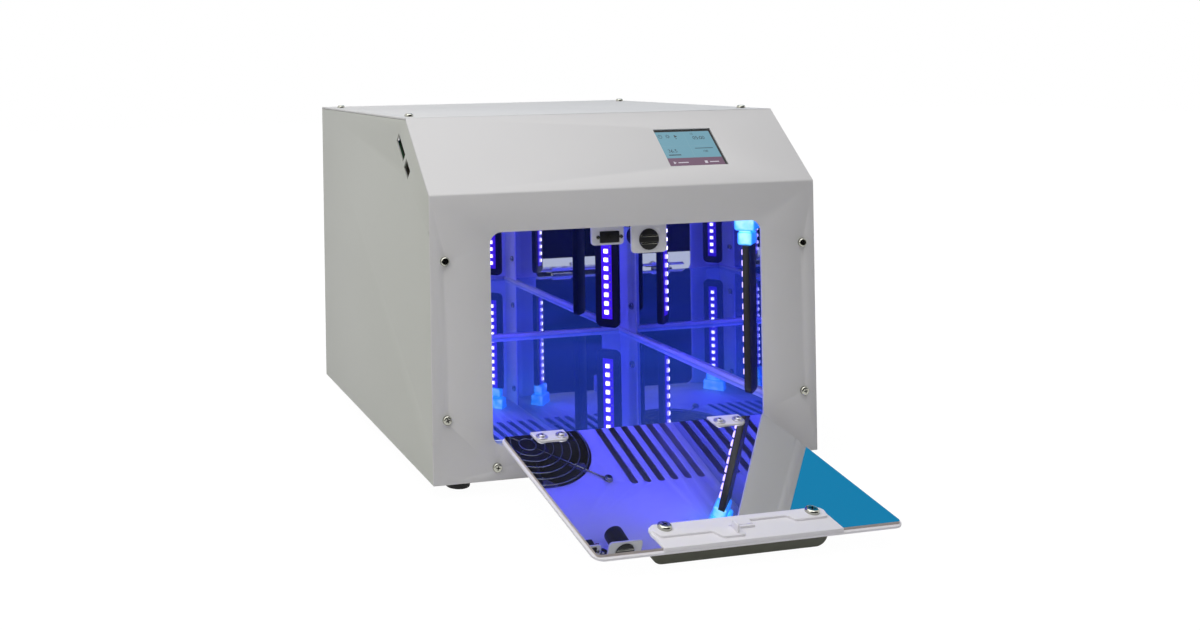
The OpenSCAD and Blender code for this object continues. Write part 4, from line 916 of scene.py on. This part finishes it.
def switch_box():
    """Door switch: its case with a raised rim, and two ears with a pin each."""
    low, high = SWITCH_Z - 4.9, SWITCH_Z + 4.9
    case = block("case", (SWITCH_X - 9, 14.3, low), (SWITCH_X + 9, 26.3, high), 0.6)
    ears = block("ears", (SWITCH_X - 11.5, 17, low), (SWITCH_X + 11.5, 19, high), 0.4)
    dress(case, black_plastic)
    dress(ears, black_plastic)
    pins = []
    for side in SIDES:
        head = pan_head("switch_pin", 1.8, 1.0)
        head.data.transform(facing(at(SWITCH_X + side * 11, 15.5, SWITCH_Z), FORWARD, 30))
        dress(head, nickel)
        pins.append(head)
    rim = block("rim", (SWITCH_X - 5.7, 14, SWITCH_Z - 3.4), (SWITCH_X + 5.7, 14.6, SWITCH_Z + 3.4), 0.25)
    dress(rim, black_plastic)
    joined = join("door_switch_case", [case, ears, rim] + pins)
    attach(joined, "root")
    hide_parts("door_switch")


# ---------------------------------------------------------------- feet
def rubber_feet():
    made = [drum("foot", (side * FOOT_X, y, -FOOT_LENGTH / 2), 10.5, FOOT_LENGTH, "Z", 1.2, 56)
            for side in SIDES for y in (31, 345)]
    feet = join("rubber_feet", made)
    dress(feet, rubber)
    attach(feet, "root")
    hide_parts("feet", "foot_screws")


for node, width in (("front_hood", 0.35), ("left_side_panel", 0.3), ("right_side_panel", 0.3), ("rear_panel", 0.3),
                    ("catch_bracket", 0.3), ("switch_bracket", 0.3), ("chamber_ceiling", 0.25),
                    ("corner_posts", 0.25), ("floor_trim", 0.4), ("mains_inlet", 0.5), ("power_switch", 0.3)):
    dress_copy(node, width)
for corner in CORNERS:
    dress_copy("led_bar_" + corner, 0.5)
light_strips()
bar_caps()
guard_wires()
screws()
door_sheet()
door_mirror_sheet()
hinge_clamps()
latch()
handle()
display()
twisted_wires()
magnet()
switch_box()
rubber_feet()


# ---------------------------------------------------------------- surroundings
def room():
    """Pale bench top that shows as white round the object, and white air."""
    clear_selection()
    bpy.ops.mesh.primitive_plane_add(size=12, location=(0, 0, -0.0002))
    floor = name_it("bench_top")
    material, tree, shader = new_material("pale_bench")
    skin_on(tree, shader, (0.80, 0.80, 0.80), grain=40, stain=0.01, gloss=0.9)
    shader.inputs["Specular IOR Level"].default_value = 0.1
    far = place_node(tree, "ShaderNodeVectorMath", operation="LENGTH")
    tree.links.new(object_point(tree), far.inputs[0])
    fade = map_range(tree, far.outputs["Value"], (0.2, 0.6), (0.94, 1.0), interpolation_type="SMOOTHSTEP")
    share = math_node(tree, "MULTIPLY", fade, seen_in_picture(tree))
    white = place_node(tree, "ShaderNodeEmission")
    white.inputs["Strength"].default_value = 1.04
    blend = place_node(tree, "ShaderNodeMixShader")
    tree.links.new(share, blend.inputs[0])
    tree.links.new(shader.outputs[0], blend.inputs[1])
    tree.links.new(white.outputs[0], blend.inputs[2])
    tree.links.new(blend.outputs[0], tree.nodes["Material Output"].inputs["Surface"])
    dress(floor, material)

    world = bpy.data.worlds.new("studio_air")
    scene.world = world
    world.use_nodes = True
    tree = world.node_tree
    background = tree.nodes["Background"]
    level = map_range(tree, seen_in_picture(tree), (0.0, 1.0), (0.1, 1.0))
    background.inputs["Color"].default_value = (1, 1, 1, 1)
    tree.links.new(level, background.inputs["Strength"])


def reflected_card(name, colour, centre, size, turn):
    """Card seen only in polished surfaces, in metres."""
    clear_selection()
    bpy.ops.mesh.primitive_plane_add(size=1, location=centre, rotation=turn)
    card = bpy.context.object
    card.scale = (size[0], size[1], 1)
    card = settle(name_it(name))
    material = bpy.data.materials.new(name + "_colour")
    material.use_nodes = True
    tree = material.node_tree
    tree.nodes.remove(tree.nodes["Principled BSDF"])
    glow = place_node(tree, "ShaderNodeEmission")
    glow.inputs["Color"].default_value = (*colour, 1)
    tree.links.new(glow.outputs[0], tree.nodes["Material Output"].inputs["Surface"])
    dress(card, material)
    card.visible_camera = False
    card.visible_diffuse = False
    card.visible_shadow = False
    card.visible_transmission = False


def cards():
    upright, flat = (math.pi / 2, 0, 0), (0, 0, 0)
    reflected_card("blue_card", linear(10, 132, 180), (2.3, 1.5, 2.4), (4.2, 2.8), upright)
    reflected_card("dark_card", linear(10, 10, 12), (0.2, -1.6, 1.0), (5.0, 2.0), upright)
    reflected_card("dark_floor", linear(12, 12, 14), (0.0, -1.037, 0.0006), (5.0, 1.106), flat)


def soft_light(name, place, aim, size, power, colour=(1, 1, 1)):
    data = bpy.data.lights.new(name, "AREA")
    data.shape = "RECTANGLE"
    data.size, data.size_y = size
    data.energy = power
    data.color = colour
    light = bpy.data.objects.new(name, data)
    bpy.context.collection.objects.link(light)
    light.location = place
    light.rotation_mode = "QUATERNION"
    light.rotation_quaternion = (Vector(aim) - Vector(place)).to_track_quat("-Z", "Y")
    return light


def lamps():
    """Two soft boxes, and one violet lamp in front of each light bar."""
    soft_light("top_light", (-0.3, -0.38, 2.1), (0, 0.05, 0.2), (2.6, 1.8), 33, (0.985, 0.985, 1.0))
    soft_light("left_fill", (-1.15, -0.85, 0.9), (-0.1, 0.1, 0.2), (0.9, 0.9), 4.4, (1.0, 0.99, 0.95))
    violet = (0.07, 0.06, 1.0)
    off_bar = 13
    for side in SIDES:
        for depth, inner, power in ((BAR_FRONT, 1, 0.17), (BAR_REAR, -1, 0.62)):
            place = at(side * (BAR_X - off_bar), depth + inner * off_bar, 118)
            aim = at(side * 20, 181, 130)
            lamp = soft_light("bar_light", place, aim, (0.012, 0.12), power, violet)
            lamp.visible_camera = False
            lamp.visible_glossy = False


def camera():
    """Camera of the photograph, whose focal length and shift were fitted in its pixels."""
    photo_width, focal_length, shift = 1200, 1199.4, (300, -250.5)
    data = bpy.data.cameras.new("photo_camera")
    data.sensor_width = 36
    data.lens = focal_length / photo_width * data.sensor_width
    data.shift_x, data.shift_y = shift[0] / photo_width, shift[1] / photo_width
    cam = bpy.data.objects.new("photo_camera", data)
    bpy.context.collection.objects.link(cam)
    yaw, pitch, roll = math.radians(12.428), 0.0, math.radians(-0.925)
    forward = Vector((math.sin(yaw) * math.cos(pitch), math.cos(yaw) * math.cos(pitch), math.sin(pitch)))
    right = Vector((math.cos(yaw), -math.sin(yaw), 0))
    up = right.cross(forward)
    tilted_right = right * math.cos(roll) + up * math.sin(roll)
    tilted_up = up * math.cos(roll) - right * math.sin(roll)
    turn = Matrix((tilted_right, tilted_up, -forward)).transposed()
    cam.rotation_mode = "QUATERNION"
    cam.rotation_quaternion = turn.to_quaternion()
    cam.location = at(-496.8, -948.5, 351.7)
    scene.camera = cam


scene.view_settings.view_transform = "Standard"
room()
cards()
lamps()
camera()
